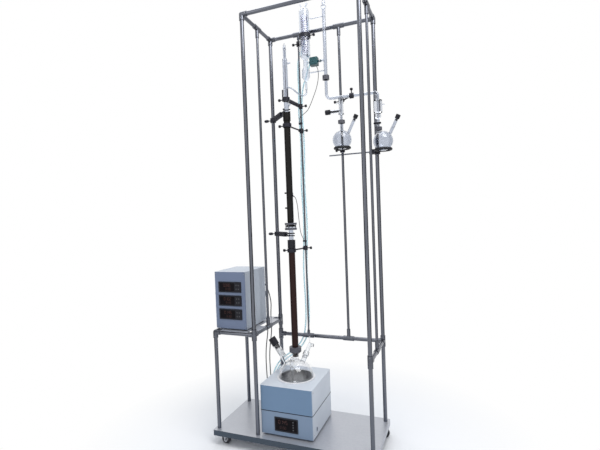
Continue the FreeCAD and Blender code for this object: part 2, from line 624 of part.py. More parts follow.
def mantle_fittings():
    """The display window and the rocker switch."""
    front = ("column_x", "-mantle_depth / 2 - display_proud / 2", "tray_height + display_bottom")
    inner = moved(front, dy="display_depth / 2", dz="display_flange + nest_gap")
    keep("mantle_display", fuse(box(("display_width", "display_proud", "display_height"), front),
                                box(("display_width - 2 * (display_flange + nest_gap)", "display_depth",
                                     "display_height - 2 * (display_flange + nest_gap)"), inner)))
    half = "rocker_height / 2"
    outline = [("1.6", "0"), ("3.6", half), ("-2", half), ("-4.5", "0"), ("-2", "-%s" % half),
               ("3.6", "-%s" % half)]
    pivot = ("column_x + mantle_width / 2 - display_proud", "-switch_y", "tray_height + switch_middle")
    rocker = plate(outline, "rocker_width", "XZ_Plane", pivot, middle=True)
    pin = rod("rocker_pin", "rocker_width + 2 * switch_rim - 1",
              moved(pivot, dy="-(rocker_width / 2 + switch_rim) + 0.5"), TURNS["y"])
    keep("mantle_switch", fuse(rocker, pin))


def rubber_feet():
    reach_x, reach_y = "mantle_width / 2 - foot_inset", "mantle_depth / 2 - foot_inset"
    feet = [cone("foot_radius - 2", "foot_radius", "foot_height",
                 ("column_x + %d * (%s)" % (side_x, reach_x), "%d * (%s)" % (side_y, reach_y), "tray_height"))
            for side_x in (-1, 1) for side_y in (-1, 1)]
    reach_x, reach_y = "box_width / 2 - foot_inset", "box_depth / 2 - foot_inset"
    feet += [cone("foot_radius - 2", "foot_radius", "box_foot_height",
                  ("%s + %d * (%s)" % (BOX_X, side_x, reach_x), "%s + %d * (%s)" % (BOX_Y, side_y, reach_y),
                   SHELF_TOP)) for side_x in (-1, 1) for side_y in (-1, 1)]
    keep("rubber_feet", group(feet))


# ---------------------------------------------------------------- control box

BOX_X = "(%s - box_left + box_width / 2)" % TABLE
BOX_Y = "(%s + box_front + box_depth / 2)" % FRONT
BOX_FLOOR = "(%s + box_foot_height)" % SHELF_TOP
BOX_FACE = "(%s + box_front)" % FRONT


def control_box():
    """A sheet case that is open in front, a front panel in its mouth and three panel meters."""
    wall = "sheet_wall"
    cover = slab("box_width", "box_depth", "box_height", "box_corner", (BOX_X, BOX_Y, BOX_FLOOR))
    inside = box(("box_width - 2 * sheet_wall", "box_depth", "box_height - 2 * sheet_wall"),
                 (BOX_X, "%s - %s" % (BOX_Y, wall), "%s + %s" % (BOX_FLOOR, wall)))
    glands = [gland(at, TURNS["y"]) for at in BOX_GLANDS]
    bores = [rod("cable_radius + gland_bore_gap", "gland_length + 1", moved(at, dy="-1"), TURNS["y"])
             for at in BOX_GLANDS]
    keep("control_case", cut(fuse(cut(cover, inside), *glands), *bores))
    panel_width = "(box_width - 2 * (sheet_wall + nest_gap))"
    base = "%s + sheet_wall + nest_gap" % BOX_FLOOR
    panel = box((panel_width, "panel_wall", "box_height - 2 * (sheet_wall + nest_gap)"),
                (BOX_X, "%s + panel_wall / 2" % BOX_FACE, base))
    lows = ["%s + lowest_meter + %d * meter_pitch" % (BOX_FLOOR, step) for step in range(3)]
    strips = [box((panel_width, "strip_proud", "strip_height"),
                  (BOX_X, "%s - strip_proud / 2" % BOX_FACE, "%s + meter_height + 4" % low))
              for low in lows[:2]]
    holes = [box(("meter_width - 2 * meter_flange", "4 * panel_wall", "meter_height - 2 * meter_flange"),
                 (BOX_X, BOX_FACE, "%s + meter_flange" % low)) for low in lows]
    keep("control_panel", cut(fuse(panel, *strips), *holes))
    meters = []
    for low in lows:
        bezel = box(("meter_width", "meter_proud", "meter_height"),
                    (BOX_X, "%s - meter_proud / 2" % BOX_FACE, low))
        body = box(("meter_width - 2 * (meter_flange + nest_gap)", "meter_depth",
                    "meter_height - 2 * (meter_flange + nest_gap)"),
                   (BOX_X, "%s + meter_depth / 2" % BOX_FACE, "%s + meter_flange + nest_gap" % low))
        meters.append(fuse(bezel, body))
    keep("control_meters", group(meters))


# ---------------------------------------------------------------- flask

LEFT_NECK = Rotation(Vector(0, 1, 0), -value("left_neck_tilt"))
RIGHT_NECK = Rotation(Vector(0, 1, 0), value("right_neck_tilt"))


def along(at, turn, distance):
    """A place some way along a turned piece's own Z axis."""
    away = turn.multVec(Vector(0, 0, 1))
    return moved(at, *("%.9f * (%s)" % (part, distance) for part in away))


def flask():
    """A round flask with three necks in a row and one upright neck in front."""
    front = moved(FLASK, "front_neck_x", "-front_neck_y", "front_neck_start")
    rise = "front_neck_top - front_neck_start"
    outers = [
        ball("flask_radius", FLASK),
        rod("neck_radius", "flask_neck_height", FLASK),
        rod("flange_radius", "flange_height + 2", moved(FLASK, dz="flask_neck_height - flange_height - 2")),
        rod("neck_radius", "left_neck_length", FLASK, LEFT_NECK),
        rod("side_flange_radius", "side_flange_height",
            along(FLASK, LEFT_NECK, "left_neck_length - side_flange_height"), LEFT_NECK),
        rod("right_neck_radius", "right_neck_length", FLASK, RIGHT_NECK),
        rod("right_neck_radius + 4", "side_flange_height",
            along(FLASK, RIGHT_NECK, "right_neck_length - side_flange_height"), RIGHT_NECK),
        rod("front_neck_radius", rise, front),
        rod("front_neck_radius + 3", "glass_wall * 2", moved(front, dz="%s - glass_wall * 2" % rise)),
    ]
    inners = [
        ball("flask_radius - glass_wall", FLASK),
        rod("neck_radius - glass_wall", "flask_neck_height + 1", FLASK),
        rod("neck_radius - glass_wall", "left_neck_length + 1", FLASK, LEFT_NECK),
        rod("right_neck_radius - glass_wall", "right_neck_length + 1", FLASK, RIGHT_NECK),
        rod("front_neck_radius - glass_wall", rise + " + 1", front),
    ]
    keep("flask", cut(fuse(*outers), *inners))


def stopper(at, turn, distance, bore, head, height, depth):
    """A stopper that rests on the end of a neck, with a plug that tapers into its bore."""
    start = along(at, turn, "(%s) + joint_gap" % distance)
    plug = along(at, turn, "(%s) + joint_gap - (%s)" % (distance, depth))
    return fuse(rod(head, height, start, turn),
                cone("(%s) - 1.5" % bore, "(%s) - joint_gap" % bore, depth, plug, turn))


def flask_fittings():
    """What sits in the flask's necks: stoppers, the elbow adapter and the thermowell."""
    caps = [stopper(FLASK, LEFT_NECK, "left_neck_length", "neck_radius - glass_wall", "cap_radius",
                    "cap_height", "stopper_depth")]
    for start in SECOND_NECKS:
        caps.append(stopper(start, SECOND_TURN, "second_neck_length", "second_neck_radius - receiver_wall",
                            "small_cap_radius", "small_cap_height", "small_stopper_depth"))
    keep("neck_caps", group(caps))
    start = along(FLASK, RIGHT_NECK, "right_neck_length + joint_gap")
    elbow = along(FLASK, RIGHT_NECK, "right_neck_length + joint_gap + adapter_length")
    plug = along(FLASK, RIGHT_NECK, "right_neck_length + joint_gap - stopper_depth")
    keep("neck_adapter", fuse(
        cone("right_neck_radius - glass_wall - 1.5", "right_neck_radius - glass_wall - joint_gap",
             "stopper_depth", plug, RIGHT_NECK),
        rod("right_neck_radius + 3", "side_flange_height", start, RIGHT_NECK),
        rod("adapter_radius", "adapter_length", start, RIGHT_NECK), ball("adapter_radius + 2", elbow),
        rod("adapter_radius - 2", "2 * adapter_radius", elbow, TURNS["x"]),
        rod("vent_radius", "vent_length", elbow)))
    top = moved(FLASK, "front_neck_x", "-front_neck_y", "front_neck_top + joint_gap")
    keep("thermowell", fuse(
        rod("thermowell_radius", "thermowell_depth + thermowell_collar", moved(top, dz="-thermowell_depth")),
        rod("front_neck_radius - 1", "thermowell_collar", top),
        rod("front_neck_radius - 5", "thermowell_collar", moved(top, dz="thermowell_collar"))))


# ---------------------------------------------------------------- column


def column_section(length):
    """Half of a column section's outline: a flanged foot, a long jacket and a socket in a cap."""
    seat = "joint_radius + joint_gap"
    return [("column_bore", "0"), ("flange_radius", "0"), ("flange_radius", "flange_height"),
            ("column_radius - 2", "flange_height + 3"), ("column_radius - 2", "flange_height + 16"),
            ("column_radius", "flange_height + 24"), ("column_radius", "%s - cap_ring_height" % length),
            ("cap_ring_radius", "%s - cap_ring_height + 3" % length), ("cap_ring_radius", length),
            (seat, length), (seat, "%s - seat_depth" % length), ("column_bore", "%s - seat_depth" % length)]


def columns():
    """The two packed sections, each with a dark jacket, and the bare glass joint between them."""
    x = "column_x"
    lower = column_section("lower_column_length")
    cone_start = "neck_radius - glass_wall"
    lower = [("column_bore", "-cone_depth"), ("%s - 1.8" % cone_start, "-cone_depth"),
             ("%s - joint_gap" % cone_start, "-joint_gap"), ("%s - joint_gap" % cone_start, "0")] + lower[1:]
    keep("lower_column", turned(lower, (x, "0", "%s + joint_gap" % NECK_TOP)))
    foot = (x, "0", "%s + joint_gap" % JOINT_TOP)
    ports = [rod("port_radius", "port_length", moved(foot, "-(column_bore + 2)", dz=height), TURNS["-x"])
             for height in ("lower_port", "upper_port")]
    keep("upper_column", fuse(turned(column_section("upper_column_length"), foot), *ports))
    bottom = "joint_gap - seat_depth"
    flange = "joint_length - joint_flange"
    glass = [("joint_radius - glass_wall", bottom), ("joint_radius", bottom), ("joint_radius", flange),
             ("flange_radius", flange), ("flange_radius", "joint_length"),
             ("joint_radius - glass_wall", "joint_length")]
    keep("column_joint", turned(glass, (x, "0", LOWER_TOP)))


def joint_clamp(at, flange, neck, outer, height, below):
    """A ring clamp that hides a flange joint, with its lip above the joint."""
    top, lip = "(%s) - (%s)" % (height, below), "flange_height + 4"
    bore, throat = "(%s) + joint_gap" % flange, "(%s) + joint_gap" % neck
    outline = [(bore, "-(%s)" % below), (outer, "-(%s)" % below), (outer, top), (throat, top), (throat, lip),
               (bore, lip)]
    return turned(outline, at)


def joint_clamps():
    """The clamp on the flask's neck, the bolted pair of rings at the column's joint and the clips of
    the riser's and the take-offs' joints."""
    neck = (FLASK[0], FLASK[1], NECK_TOP)
    clamps = [joint_clamp(neck, "flange_radius", "column_radius", "clamp_radius", "clamp_height",
                          "clamp_below")]
    joint = (FLASK[0], FLASK[1], JOINT_TOP)
    low = moved(joint, dz="-(joint_flange + ring_height)")
    high = moved(joint, dz="2 * joint_gap + flange_height + 3")
    for at, bore in ((low, "joint_radius"), (high, "column_radius")):
        clamps.append(tube("clamp_radius", "clamp_radius - (%s) - joint_gap" % bore, "ring_height", at))
    bolts = [rod("bolt_radius", "joint_flange + flange_height + 2 * joint_gap + 3",
                 moved(joint, "bolt_circle * %d" % side_x, "bolt_circle * %d" % side_y, "-joint_flange"))
             for side_x, side_y in ((1, 0), (-1, 0), (0, 1), (0, -1))]
    rings = fuse(clamps[1], clamps[2], *bolts)
    small = [flange_clip(("riser_x", "glass_y", "tray_height + riser_bottom"), "ball_flange", "riser_radius",
                         "ball_clip_radius", "ball_clip_height")]
    small += [flange_clip((x, "glass_y", z), "takeoff_flange", "receiver_neck", "key_clip_radius",
                          "key_clip_height")
              for x, z in (("left_receiver_x", LEFT_NECK_TOP), ("right_takeoff_x", RIGHT_NECK_TOP))]
    keep("joint_clamps", group([clamps[0], rings] + small))


def flange_clip(at, flange, neck, outer, height):
    """A clip round a small pair of flanges, with a lip over each."""
    half = "(%s) / 2" % height
    lip = "(%s) - clip_lip" % half
    bore, throat = "(%s) + joint_gap" % flange, "(%s) + 2" % neck
    outline = [(throat, "-(%s)" % half), (outer, "-(%s)" % half), (outer, half), (throat, half),
               (throat, lip), (bore, lip), (bore, "-(%s)" % lip), (throat, "-(%s)" % lip)]
    return turned(outline, at)


# ---------------------------------------------------------------- column head


def column_head():
    """The clear head on the column: a tube with a slim top, a thin arm that dips over to the
    condenser's tail, a slanted port low down and a short one near its shoulder."""
    foot = ("column_x", "0", UPPER_TOP)
    base = "joint_gap - seat_depth"
    tip = "head_length + head_top_length"
    solids, hollows = [], []
    for inset, tops, overrun in (("0", solids, "0"), ("head_wall", hollows, "1")):
        side, neck = "head_radius - joint_gap - 0.2 - (%s)" % inset, "head_top_radius - (%s)" % inset
        outline = [("0", "%s - %s" % (base, overrun)), (side, "%s - %s" % (base, overrun)),
                   (side, "head_length - (%s)" % inset), (neck, "head_length + 13 - (%s)" % inset),
                   (neck, "%s + %s" % (tip, overrun)), ("0", "%s + %s" % (tip, overrun))]
        tops.append(turned(outline, foot))
    arm = transfer_arm()
    solids.append(bent(arm, "arm_radius"))
    hollows.append(bent(arm, "arm_radius - arm_wall"))
    slant = Rotation(Vector(0, 1, 0), 45)
    port = moved(foot, dz="side_port_height")
    nub = moved(foot, dz="head_port_height")
    solids += [rod("arm_radius", "side_port_length", port, slant),
               rod("arm_radius + 1", "port_length * 2", nub, TURNS["x"])]
    hollows += [rod("arm_radius - arm_wall", "side_port_length + 1", port, slant),
                rod("arm_radius - arm_wall", "port_length * 2 + 1", nub, TURNS["x"])]
    keep("column_head", cut(fuse(*solids), *hollows))
    top = (foot[0], foot[1], "%s + joint_gap" % HEAD_TOP)
    keep("thermometer", fuse(rod("thermometer_radius", "thermometer_depth",
                                 moved(top, dz="-thermometer_depth")),
                             rod("head_top_radius - 1", "thermometer_cap", top),
                             cone("head_top_radius - 3", "thermometer_radius", "thermometer_cap",
                                  moved(top, dz="thermometer_cap"))))


def transfer_arm():
    """The path of the arm from inside the head to just under the condenser's tail."""
    start = point(("column_x", "0", "%s + arm_height" % UPPER_TOP))
    tail = point(("condenser_x", "glass_y", "tray_height + condenser_bottom - joint_gap"))
    across = Vector(tail.x - start.x, tail.y - start.y, 0)
    shares = ((0, 0), (0.3, -4), (0.55, -34), (0.85, -46), (1, -30))
    path = [start + across * share + Vector(0, 0, drop) for share, drop in shares]
    return path[:-1] + [Vector(tail.x, tail.y, path[-1].z), tail]


# ---------------------------------------------------------------- condenser, riser, delivery tube

CONDENSER = ("condenser_x", "glass_y", "tray_height + condenser_bottom")


def condenser_outline(inset, overrun):
    """Half of the condenser's outline, drawn in by the wall for its inside."""
    steps = [("tail_radius", "-%s" % overrun), ("tail_radius", "52"), ("bulb_radius", "82"),
             ("bulb_radius", "124"), ("pinch_radius", "150"), ("pinch_radius", "196"),
             ("condenser_radius", "216"), ("condenser_radius", "condenser_length - 28"),
             ("condenser_radius - 5", "condenser_length - 13"), ("outlet_radius + 3", "condenser_length")]
    outline = [("(%s) - (%s)" % (radius, inset), height) for radius, height in steps]
    return [("0", outline[0][1])] + outline + [("0", outline[-1][1])]


def condenser():
    """A glass jacket with a bulb below, a pinch for the valve, two outlets in a V on top and two
    nipples behind."""
    top = moved(CONDENSER, dz="condenser_length - 9")
    tilts = [Rotation(Vector(0, 1, 0), side * value("outlet_tilt")) for side in (-1, 1)]
    nipples = [moved(CONDENSER, dy="condenser_radius - 4", dz=height)
               for height in ("upper_nipple", "lower_nipple")]
    branch = moved(CONDENSER, dz="valve_bottom + valve_height / 2 - condenser_bottom")
    bridges = [("low_bridge", "bulb_radius"), ("high_bridge", "condenser_radius")]
    outers = [turned(condenser_outline("0", "0"), CONDENSER)]
    outers += [rod("outlet_radius", "outlet_length", top, tilt) for tilt in tilts]
    outers += [rod("nipple_radius", "nipple_length + 4", at, TURNS["y"]) for at in nipples]
    outers.append(rod("branch_radius", "branch_length", branch, TURNS["x"]))
    for height, radius in bridges:
        at = moved(CONDENSER, dz="%s - condenser_bottom" % height)
        outers.append(rod("bridge_radius + 2", "%s + bridge_stub" % radius, at, TURNS["x"]))
    inners = [turned(condenser_outline("glass_wall", "1"), CONDENSER)]
    inners += [rod("outlet_radius - glass_wall", "outlet_length + 1", top, tilt) for tilt in tilts]
    inners += [rod("nipple_bore", "nipple_length + 5", moved(at, dy="-1"), TURNS["y"]) for at in nipples]
    inners.append(rod("branch_radius - glass_wall", "branch_length + 1", branch, TURNS["x"]))
    keep("condenser", cut(fuse(*outers), *inners))
    keep("condenser_coil", turned(coil_outline(), moved(CONDENSER, dz="coil_start")))


def coil_outline():
    """Half of the outline of a close-wound cooling coil, as a hollow stack of bulging turns."""
    count = int(value("coil_turns"))
    outline = [("coil_radius - 2 * coil_wire", "0")]
    for index in range(count):
        outline += [("coil_radius - coil_wire", "%d * coil_pitch" % index),
                    ("coil_radius", "(%d + 0.5) * coil_pitch" % index)]
    return outline + [("coil_radius - coil_wire", "%d * coil_pitch" % count),
                      ("coil_radius - 2 * coil_wire", "%d * coil_pitch" % count)]


def solenoid_valve():
    """A block with a round port on each side and a round gland for its cable."""
    middle = ("valve_x", "glass_y", "tray_height + valve_bottom + valve_height / 2")
    body = slab("valve_width", "valve_depth", "valve_height", "4", moved(middle, dz="-valve_height / 2"))
    left = "%s + branch_length + joint_gap" % CONDENSER[0]
    right = "riser_x - branch_length - joint_gap"
    ports = [rod("valve_port_radius", "valve_x - (%s)" % left, (left, middle[1], middle[2]), TURNS["x"]),
             rod("valve_port_radius", "(%s) - valve_x" % right, middle, TURNS["x"]),
             rod("valve_port_radius - 1", "valve_depth / 2 + gland_length",
                 moved(middle, dz="-valve_height / 4"), TURNS["y"])]
    bore = rod("thin_lead + gland_bore_gap", "gland_length",
               moved(middle, "0", "valve_depth / 2", "-valve_height / 4"), TURNS["y"])
    keep("solenoid_valve", cut(fuse(body, *ports), bore))


def riser():
    """The upright tube beside the condenser, with a bulb near its top, a branch for the valve and
    two thin cross tubes."""
    foot = ("riser_x", "glass_y", "tray_height + riser_bottom + joint_gap / 2")
    steps = [("ball_flange", "0"), ("ball_flange", "ball_flange_height"),
             ("riser_radius", "ball_flange_height + 4"), ("riser_radius", "riser_bulb_height"),
             ("riser_bulb", "riser_bulb_height + 7"), ("riser_bulb", "riser_bulb_height + 18"),
             ("riser_radius", "riser_bulb_height + 25"), ("riser_radius", "riser_length - 8"),
             ("bridge_radius + 1", "riser_length")]
    outer = [("0", "0")] + steps + [("0", "riser_length")]
    side = "riser_radius - riser_wall"
    top = "riser_length - 10"
    inner = [("0", "-1"), (side, "-1"), (side, top), ("0", top)]
    branch = (foot[0], foot[1], "tray_height + valve_bottom + valve_height / 2")
    solids = [turned(outer, foot), rod("branch_radius", "branch_length", branch, TURNS["-x"])]
    hollows = [turned(inner, foot),
               rod("branch_radius - glass_wall", "branch_length + 1", branch, TURNS["-x"])]
    for height, radius in (("low_bridge", "bulb_radius"), ("high_bridge", "condenser_radius")):
        at = (foot[0], foot[1], "tray_height + %s" % height)
        length = "riser_x - condenser_x - %s - bridge_stub - joint_gap" % radius
        solids.append(rod("bridge_radius", length, at, TURNS["-x"]))
        hollows.append(rod("bridge_radius - arm_wall", length + " + 1", at, TURNS["-x"]))
    keep("riser_tube", cut(fuse(*solids), *hollows))


def delivery_fall_to(x):
    """How far the delivery tube has fallen at a place along it."""
    return "delivery_fall * (%s - riser_x) / (right_takeoff_x - riser_x)" % x


def delivery_tube():
    """The long level tube to the take-offs: an elbow at each end and a branch down to the left one."""
    top = "tray_height + riser_bottom - joint_gap / 2"
    path = [point(place_at) for place_at in (
        ("riser_x", "glass_y", top), ("riser_x", "glass_y", DELIVERY),
        ("right_takeoff_x", "glass_y", "%s - delivery_fall" % DELIVERY),
        ("right_takeoff_x", "glass_y", "%s + joint_gap" % RIGHT_TAKEOFF_TOP))]
    limits = [value("elbow_radius"), value("last_elbow_radius")]
    branch = ("left_receiver_x", "glass_y", "%s + joint_gap" % LEFT_TAKEOFF_TOP)
    rise = "left_branch_drop - %s" % delivery_fall_to("left_receiver_x")
    flange = ("riser_x", "glass_y", "%s - ball_flange_height" % top)
    outer = fuse(bent(path, "delivery_radius", largest=limits), rod("branch_tube", rise, branch),
                 rod("ball_flange", "ball_flange_height", flange))
    bore = "delivery_radius - delivery_wall"
    keep("delivery_tube", cut(outer, bent(path, bore, largest=limits),
                              rod(bore, rise + " + 1", moved(branch, dz="-1"))))


# ---------------------------------------------------------------- take-offs and receivers

SECOND_TURN = Rotation(Vector(0, 1, 0), value("second_neck_tilt"))
SECOND_NECKS = [moved(centre, "second_neck_start", dz="second_neck_rise")
                for centre in (LEFT_RECEIVER, RIGHT_RECEIVER)]


def takeoff(name, x, foot_height, steps, top, key_rise, key_turn, barrel, nub):
    """A take-off tube: a turned stem over a receiver's neck, a stopcock barrel across it, a short
    nub on a thicker foot and a through bore. The barrel starts on the stem's axis and is bored for
    the key."""
    foot = (x, "glass_y", "%s + joint_gap" % foot_height)
    last = "%s - joint_gap - (%s)" % (top, foot_height)
    outline = [("0", "0")] + steps + [(steps[-1][0], last), ("0", last)]
    centre = (x, "glass_y", "%s + %s" % (foot_height, key_rise))
    side, nub_rise, nub_turn = nub
    root = moved(foot, side, dz=nub_rise)
    solids = [turned(outline, foot), rod("barrel_radius", barrel, centre, key_turn),
              rod("nub_foot_radius", "nub_foot_length", root, TURNS[nub_turn]),
              rod("port_radius", "nub_length", root, TURNS[nub_turn])]
    hollows = [rod("takeoff_bore", last + " + 2", moved(foot, dz="-1")),
               rod("key_radius + running_gap", barrel, along(centre, key_turn, "key_end"), key_turn)]
    keep(name, cut(fuse(*solids), *hollows))
    return centre


def takeoffs():
    stem = [("takeoff_flange", "0"), ("takeoff_flange", "takeoff_flange_height"), ("stem_radius", "9")]
    left = stem + [("stem_radius", "44"), ("18", "46"), ("18", "53"), ("branch_tube", "57")]
    centre = takeoff("takeoff_left", "left_receiver_x", LEFT_NECK_TOP, left, LEFT_TAKEOFF_TOP,
                     "left_key_rise", TURNS["-x"], "barrel_length",
                     ("-(branch_tube - 2)", "left_nub_rise", "-x"))
    plug = along(centre, TURNS["-x"], "key_end + 1")
    knob = along(centre, TURNS["-x"], "barrel_length + knob_clearance")
    keep("valve_key_left", fuse(rod("key_radius", "barrel_length + knob_clearance - key_end", plug,
                                    TURNS["-x"]),
                                rod("knob_radius", "knob_length", knob, TURNS["-x"])))
    right = stem + [("stem_radius", "60"), ("16", "66"), ("18", "70"), ("18", "jacket_start - 5"),
                    ("jacket_radius", "jacket_start"), ("jacket_radius", "jacket_start + jacket_length"),
                    ("delivery_radius + 3", "jacket_start + jacket_length + 6")]
    centre = takeoff("takeoff_right", "right_takeoff_x", RIGHT_NECK_TOP, right, RIGHT_TAKEOFF_TOP,
                     "right_key_rise", TURNS["-y"], "front_barrel",
                     ("jacket_radius - 2", "right_nub_rise", "x"))
    plug = along(centre, TURNS["-y"], "key_end + 1")
    bar = along(centre, TURNS["-y"], "front_barrel + knob_clearance")
    keep("valve_key_right", fuse(
        rod("key_radius", "front_barrel + knob_clearance - key_end", plug, TURNS["-y"]),
        slab("handle_length", "2.6 * handle_radius", "2 * handle_radius", "handle_radius", bar, TURNS["-y"])))


def receiver(name, centre, neck_x, reach, second):
    """A small round flask with an upright neck and a slanted one."""
    neck = (neck_x, centre[1], centre[2])
    flange = moved(neck, dz="%s - takeoff_flange_height" % reach)
    outers = [ball("receiver_radius", centre), rod("receiver_neck", reach, neck),
              rod("takeoff_flange", "takeoff_flange_height", flange),
              rod("second_neck_radius", "second_neck_length", second, SECOND_TURN)]
    inners = [ball("receiver_radius - receiver_wall", centre),
              rod("receiver_neck - receiver_wall", "%s + 1" % reach, neck),
              rod("second_neck_radius - receiver_wall", "second_neck_length + 1", second, SECOND_TURN)]
    keep(name, cut(fuse(*outers), *inners))


def receivers():
    receiver("receiver_left", LEFT_RECEIVER, "left_receiver_x", "left_neck_reach", SECOND_NECKS[0])
    receiver("receiver_right", RIGHT_RECEIVER, "right_takeoff_x", "right_neck_reach", SECOND_NECKS[1])


# ---------------------------------------------------------------- supports


def heading(start, end):
    """The turn of a piece whose own Z axis is to run level from one place to another, and how far."""
    way = point(end) - point(start)
    way.z = 0
    return Rotation(Vector(0, 0, 1), way), way.Length


def boss(post, post_radius, turn, screw_turn):
    """A boss head: a sleeve on an upright, a socket that holds a level bar and a thumb screw."""
    low = moved(post, dz="-boss_height / 2")
    socket_start = along(post, turn, "%s + bar_start" % post_radius)
    screw = along(post, screw_turn, "%s + boss_wall - 2" % post_radius)
    head = along(screw, screw_turn, "screw_length")
    solid = fuse(rod("%s + boss_wall" % post_radius, "boss_height", low),
                 rod("2 * bar_radius + socket_bar_wall", "boss_wall + 12", along(post, turn, post_radius),
                     turn),
                 rod("screw_radius", "screw_length", screw, screw_turn),
                 rod("screw_head", "screw_head_length", head, screw_turn))
    return cut(solid, rod("%s + bar_gap" % post_radius, "boss_height", low),
               rod("bar_radius + bar_gap", "boss_wall + 14", socket_start, turn))


def jaw(centre, tube_radius, height, screw_turn, wall):
    """A ring jaw round an upright tube with its tightening screw, the hole for the tube, and the
    jaw's radius."""
    low = moved(centre, dz="-(%s) / 2" % height)
    outer = "(%s + jaw_gap + %s)" % (tube_radius, wall)
    screw = along(centre, screw_turn, "%s - 2" % outer)
    head = along(screw, screw_turn, "screw_length")
    return (fuse(rod(outer, height, low), rod("screw_radius", "screw_length", screw, screw_turn),
                 rod("screw_head", "screw_head_length", head, screw_turn)),
            rod("%s + jaw_gap" % tube_radius, height, low), outer)


def column_clamp(post, post_radius, target, tube_radius, boss_screw, jaw_screw, wall):
    """A boss head on a post and the clamp that it carries, as two solids."""
    turn, reach = heading(post, target)
    solid, hole, outer = jaw(target, tube_radius, "jaw_height", jaw_screw, wall)
    start = along(post, turn, "%s + bar_start + bar_gap" % post_radius)
    bar = rod("bar_radius", "%.6f - %s - bar_start - bar_gap - %s + 2" % (reach, post_radius, outer), start,
              turn)
    return boss(post, post_radius, turn, boss_screw), cut(fuse(solid, bar), hole)


def ring_support(post, post_radius, centre, boss_screw):
    """A boss head and a wire ring on a bar, which a round flask sits in."""
    turn, reach = heading(post, centre)
    start = along(post, turn, "%s + bar_start + bar_gap" % post_radius)
    bar = rod("bar_radius", "%.6f - %s - bar_start - bar_gap - ring_radius" % (reach, post_radius), start,
              turn)
    return boss(post, post_radius, turn, boss_screw), fuse(ring("ring_radius", "ring_wire", centre), bar)


def supports():
    """The support rod, the extension rod and every clamp and ring on the posts."""
    rod_foot = ("rod_x", REAR, "%s + post_radius + socket_wall" % LOW_RAIL)
    rod_length = "%s - %s - 2 * (post_radius + socket_wall)" % (TOP_RAIL, LOW_RAIL)
    drop = "sqrt((receiver_radius + ring_wire + joint_gap) ^ 2 - ring_radius ^ 2)"
    extension = ("extension_start", "%s - extension_offset" % REAR, "%s - %s" % (RIGHT_RECEIVER[2], drop))
    extension_length = "%s - extension_start - post_radius" % RIGHT
    keep("support_rods", group([rod("rod_radius", rod_length, rod_foot),
                                rod("extension_radius", extension_length, extension, TURNS["x"])]))
    bosses, clamps, rings = [], [], []

    def post_at(x, height):
        return (x, REAR, "tray_height + (%s)" % height)

    side_left, side_right = TURNS["-x"], TURNS["x"]
    grips = [("column_x", "0", "lower_clamp", "column_radius", side_right, side_left, "jaw_wall"),
             ("column_x", "0", "upper_clamp", "column_radius", side_right, side_left, "jaw_wall"),
             ("column_x", "0", "head_clamp", "head_radius", side_right, side_left, "jaw_wall"),
             ("condenser_x", "glass_y", "condenser_clamp", "condenser_radius", side_left, side_right,
              "condenser_jaw_wall")]
    for x, y, height, radius, boss_screw, jaw_screw, wall in grips:
        target = (x, y, "tray_height + " + height)
        head, clamp = column_clamp(post_at("rod_x", height), "rod_radius", target, radius, boss_screw,
                                   jaw_screw, wall)
        bosses.append(head)
        clamps.append(fuse(clamp, *fingers(target)) if height == "head_clamp" else clamp)
    head, clamp = delivery_clamp()
    bosses.append(head)
    clamps.append(clamp)
    for height in ("spare_low", "spare_high"):
        turn = Rotation(Vector(0, 0, 1), Vector(1, -1, 0))
        post = post_at(LEFT, height)
        bosses.append(boss(post, "post_radius", turn, side_left))
        bar = along(post, turn, "post_radius + bar_start + bar_gap")
        end = along(bar, turn, "spare_length - 4")
        clamps.append(fuse(rod("bar_radius", "spare_length", bar, turn),
                           rod("screw_head + 2", "jaw_height", moved(end, dz="-jaw_height / 2"))))
    for post_x, radius, flask_centre in (("rear_slim_x", "slim_radius", LEFT_RECEIVER),
                                         (RIGHT, "post_radius", RIGHT_RECEIVER)):
        centre = moved(flask_centre, dz="-%s" % drop)
        head, wire = ring_support((post_x, REAR, centre[2]), radius, centre, side_left)
        bosses.append(head)
        rings.append(wire)
    bosses[-1] = extension_boss(bosses[-1], extension)
    bosses += cable_clips()
    keep("boss_heads", group(bosses))
    keep("column_clamps", group(clamps))
    keep("ring_supports", group(rings))


def fingers(centre):
    """Three upright fingers round the clamp on the column's head."""
    reach = "(head_radius + 4 * jaw_gap + finger_radius)"
    angles = [math.radians(step) for step in (200, 320, 80)]
    return [rod("finger_radius", "finger_height",
                moved(centre, "%s * %.6f" % (reach, math.cos(angle)), "%s * %.6f" % (reach, math.sin(angle)),
                      "-jaw_height / 2")) for angle in angles]


def delivery_clamp():
    """A boss on the slim rear post and a slanting bar up to a ring jaw round the delivery tube."""
    grip = ("delivery_clamp_x", "glass_y", "%s - %s" % (DELIVERY, delivery_fall_to("delivery_clamp_x")))
    post = ("rear_slim_x", REAR, grip[2])
    turn, reach = heading(post, grip)
    outer = "(delivery_radius + jaw_gap + jaw_wall)"
    level = TURNS["x"]
    body = rod(outer, "jaw_height", moved(grip, "-jaw_height / 2"), level)
    hole = rod("delivery_radius + 2 * jaw_gap", "3 * jaw_height", moved(grip, "-1.5 * jaw_height"), level)
    start = along(post, turn, "slim_radius + bar_start + bar_gap")
    bar = rod("bar_radius", "%.6f - slim_radius - bar_start - bar_gap - delivery_radius - 3" % reach, start,
              turn)
    screw = along(grip, TURNS["z"], "%s - 2" % outer)
    knob = rod("screw_head", "screw_head_length", along(screw, TURNS["z"], "screw_length"))
    return (boss(post, "slim_radius", turn, TURNS["-x"]),
            cut(fuse(body, bar, rod("screw_radius", "screw_length", screw), knob), hole))


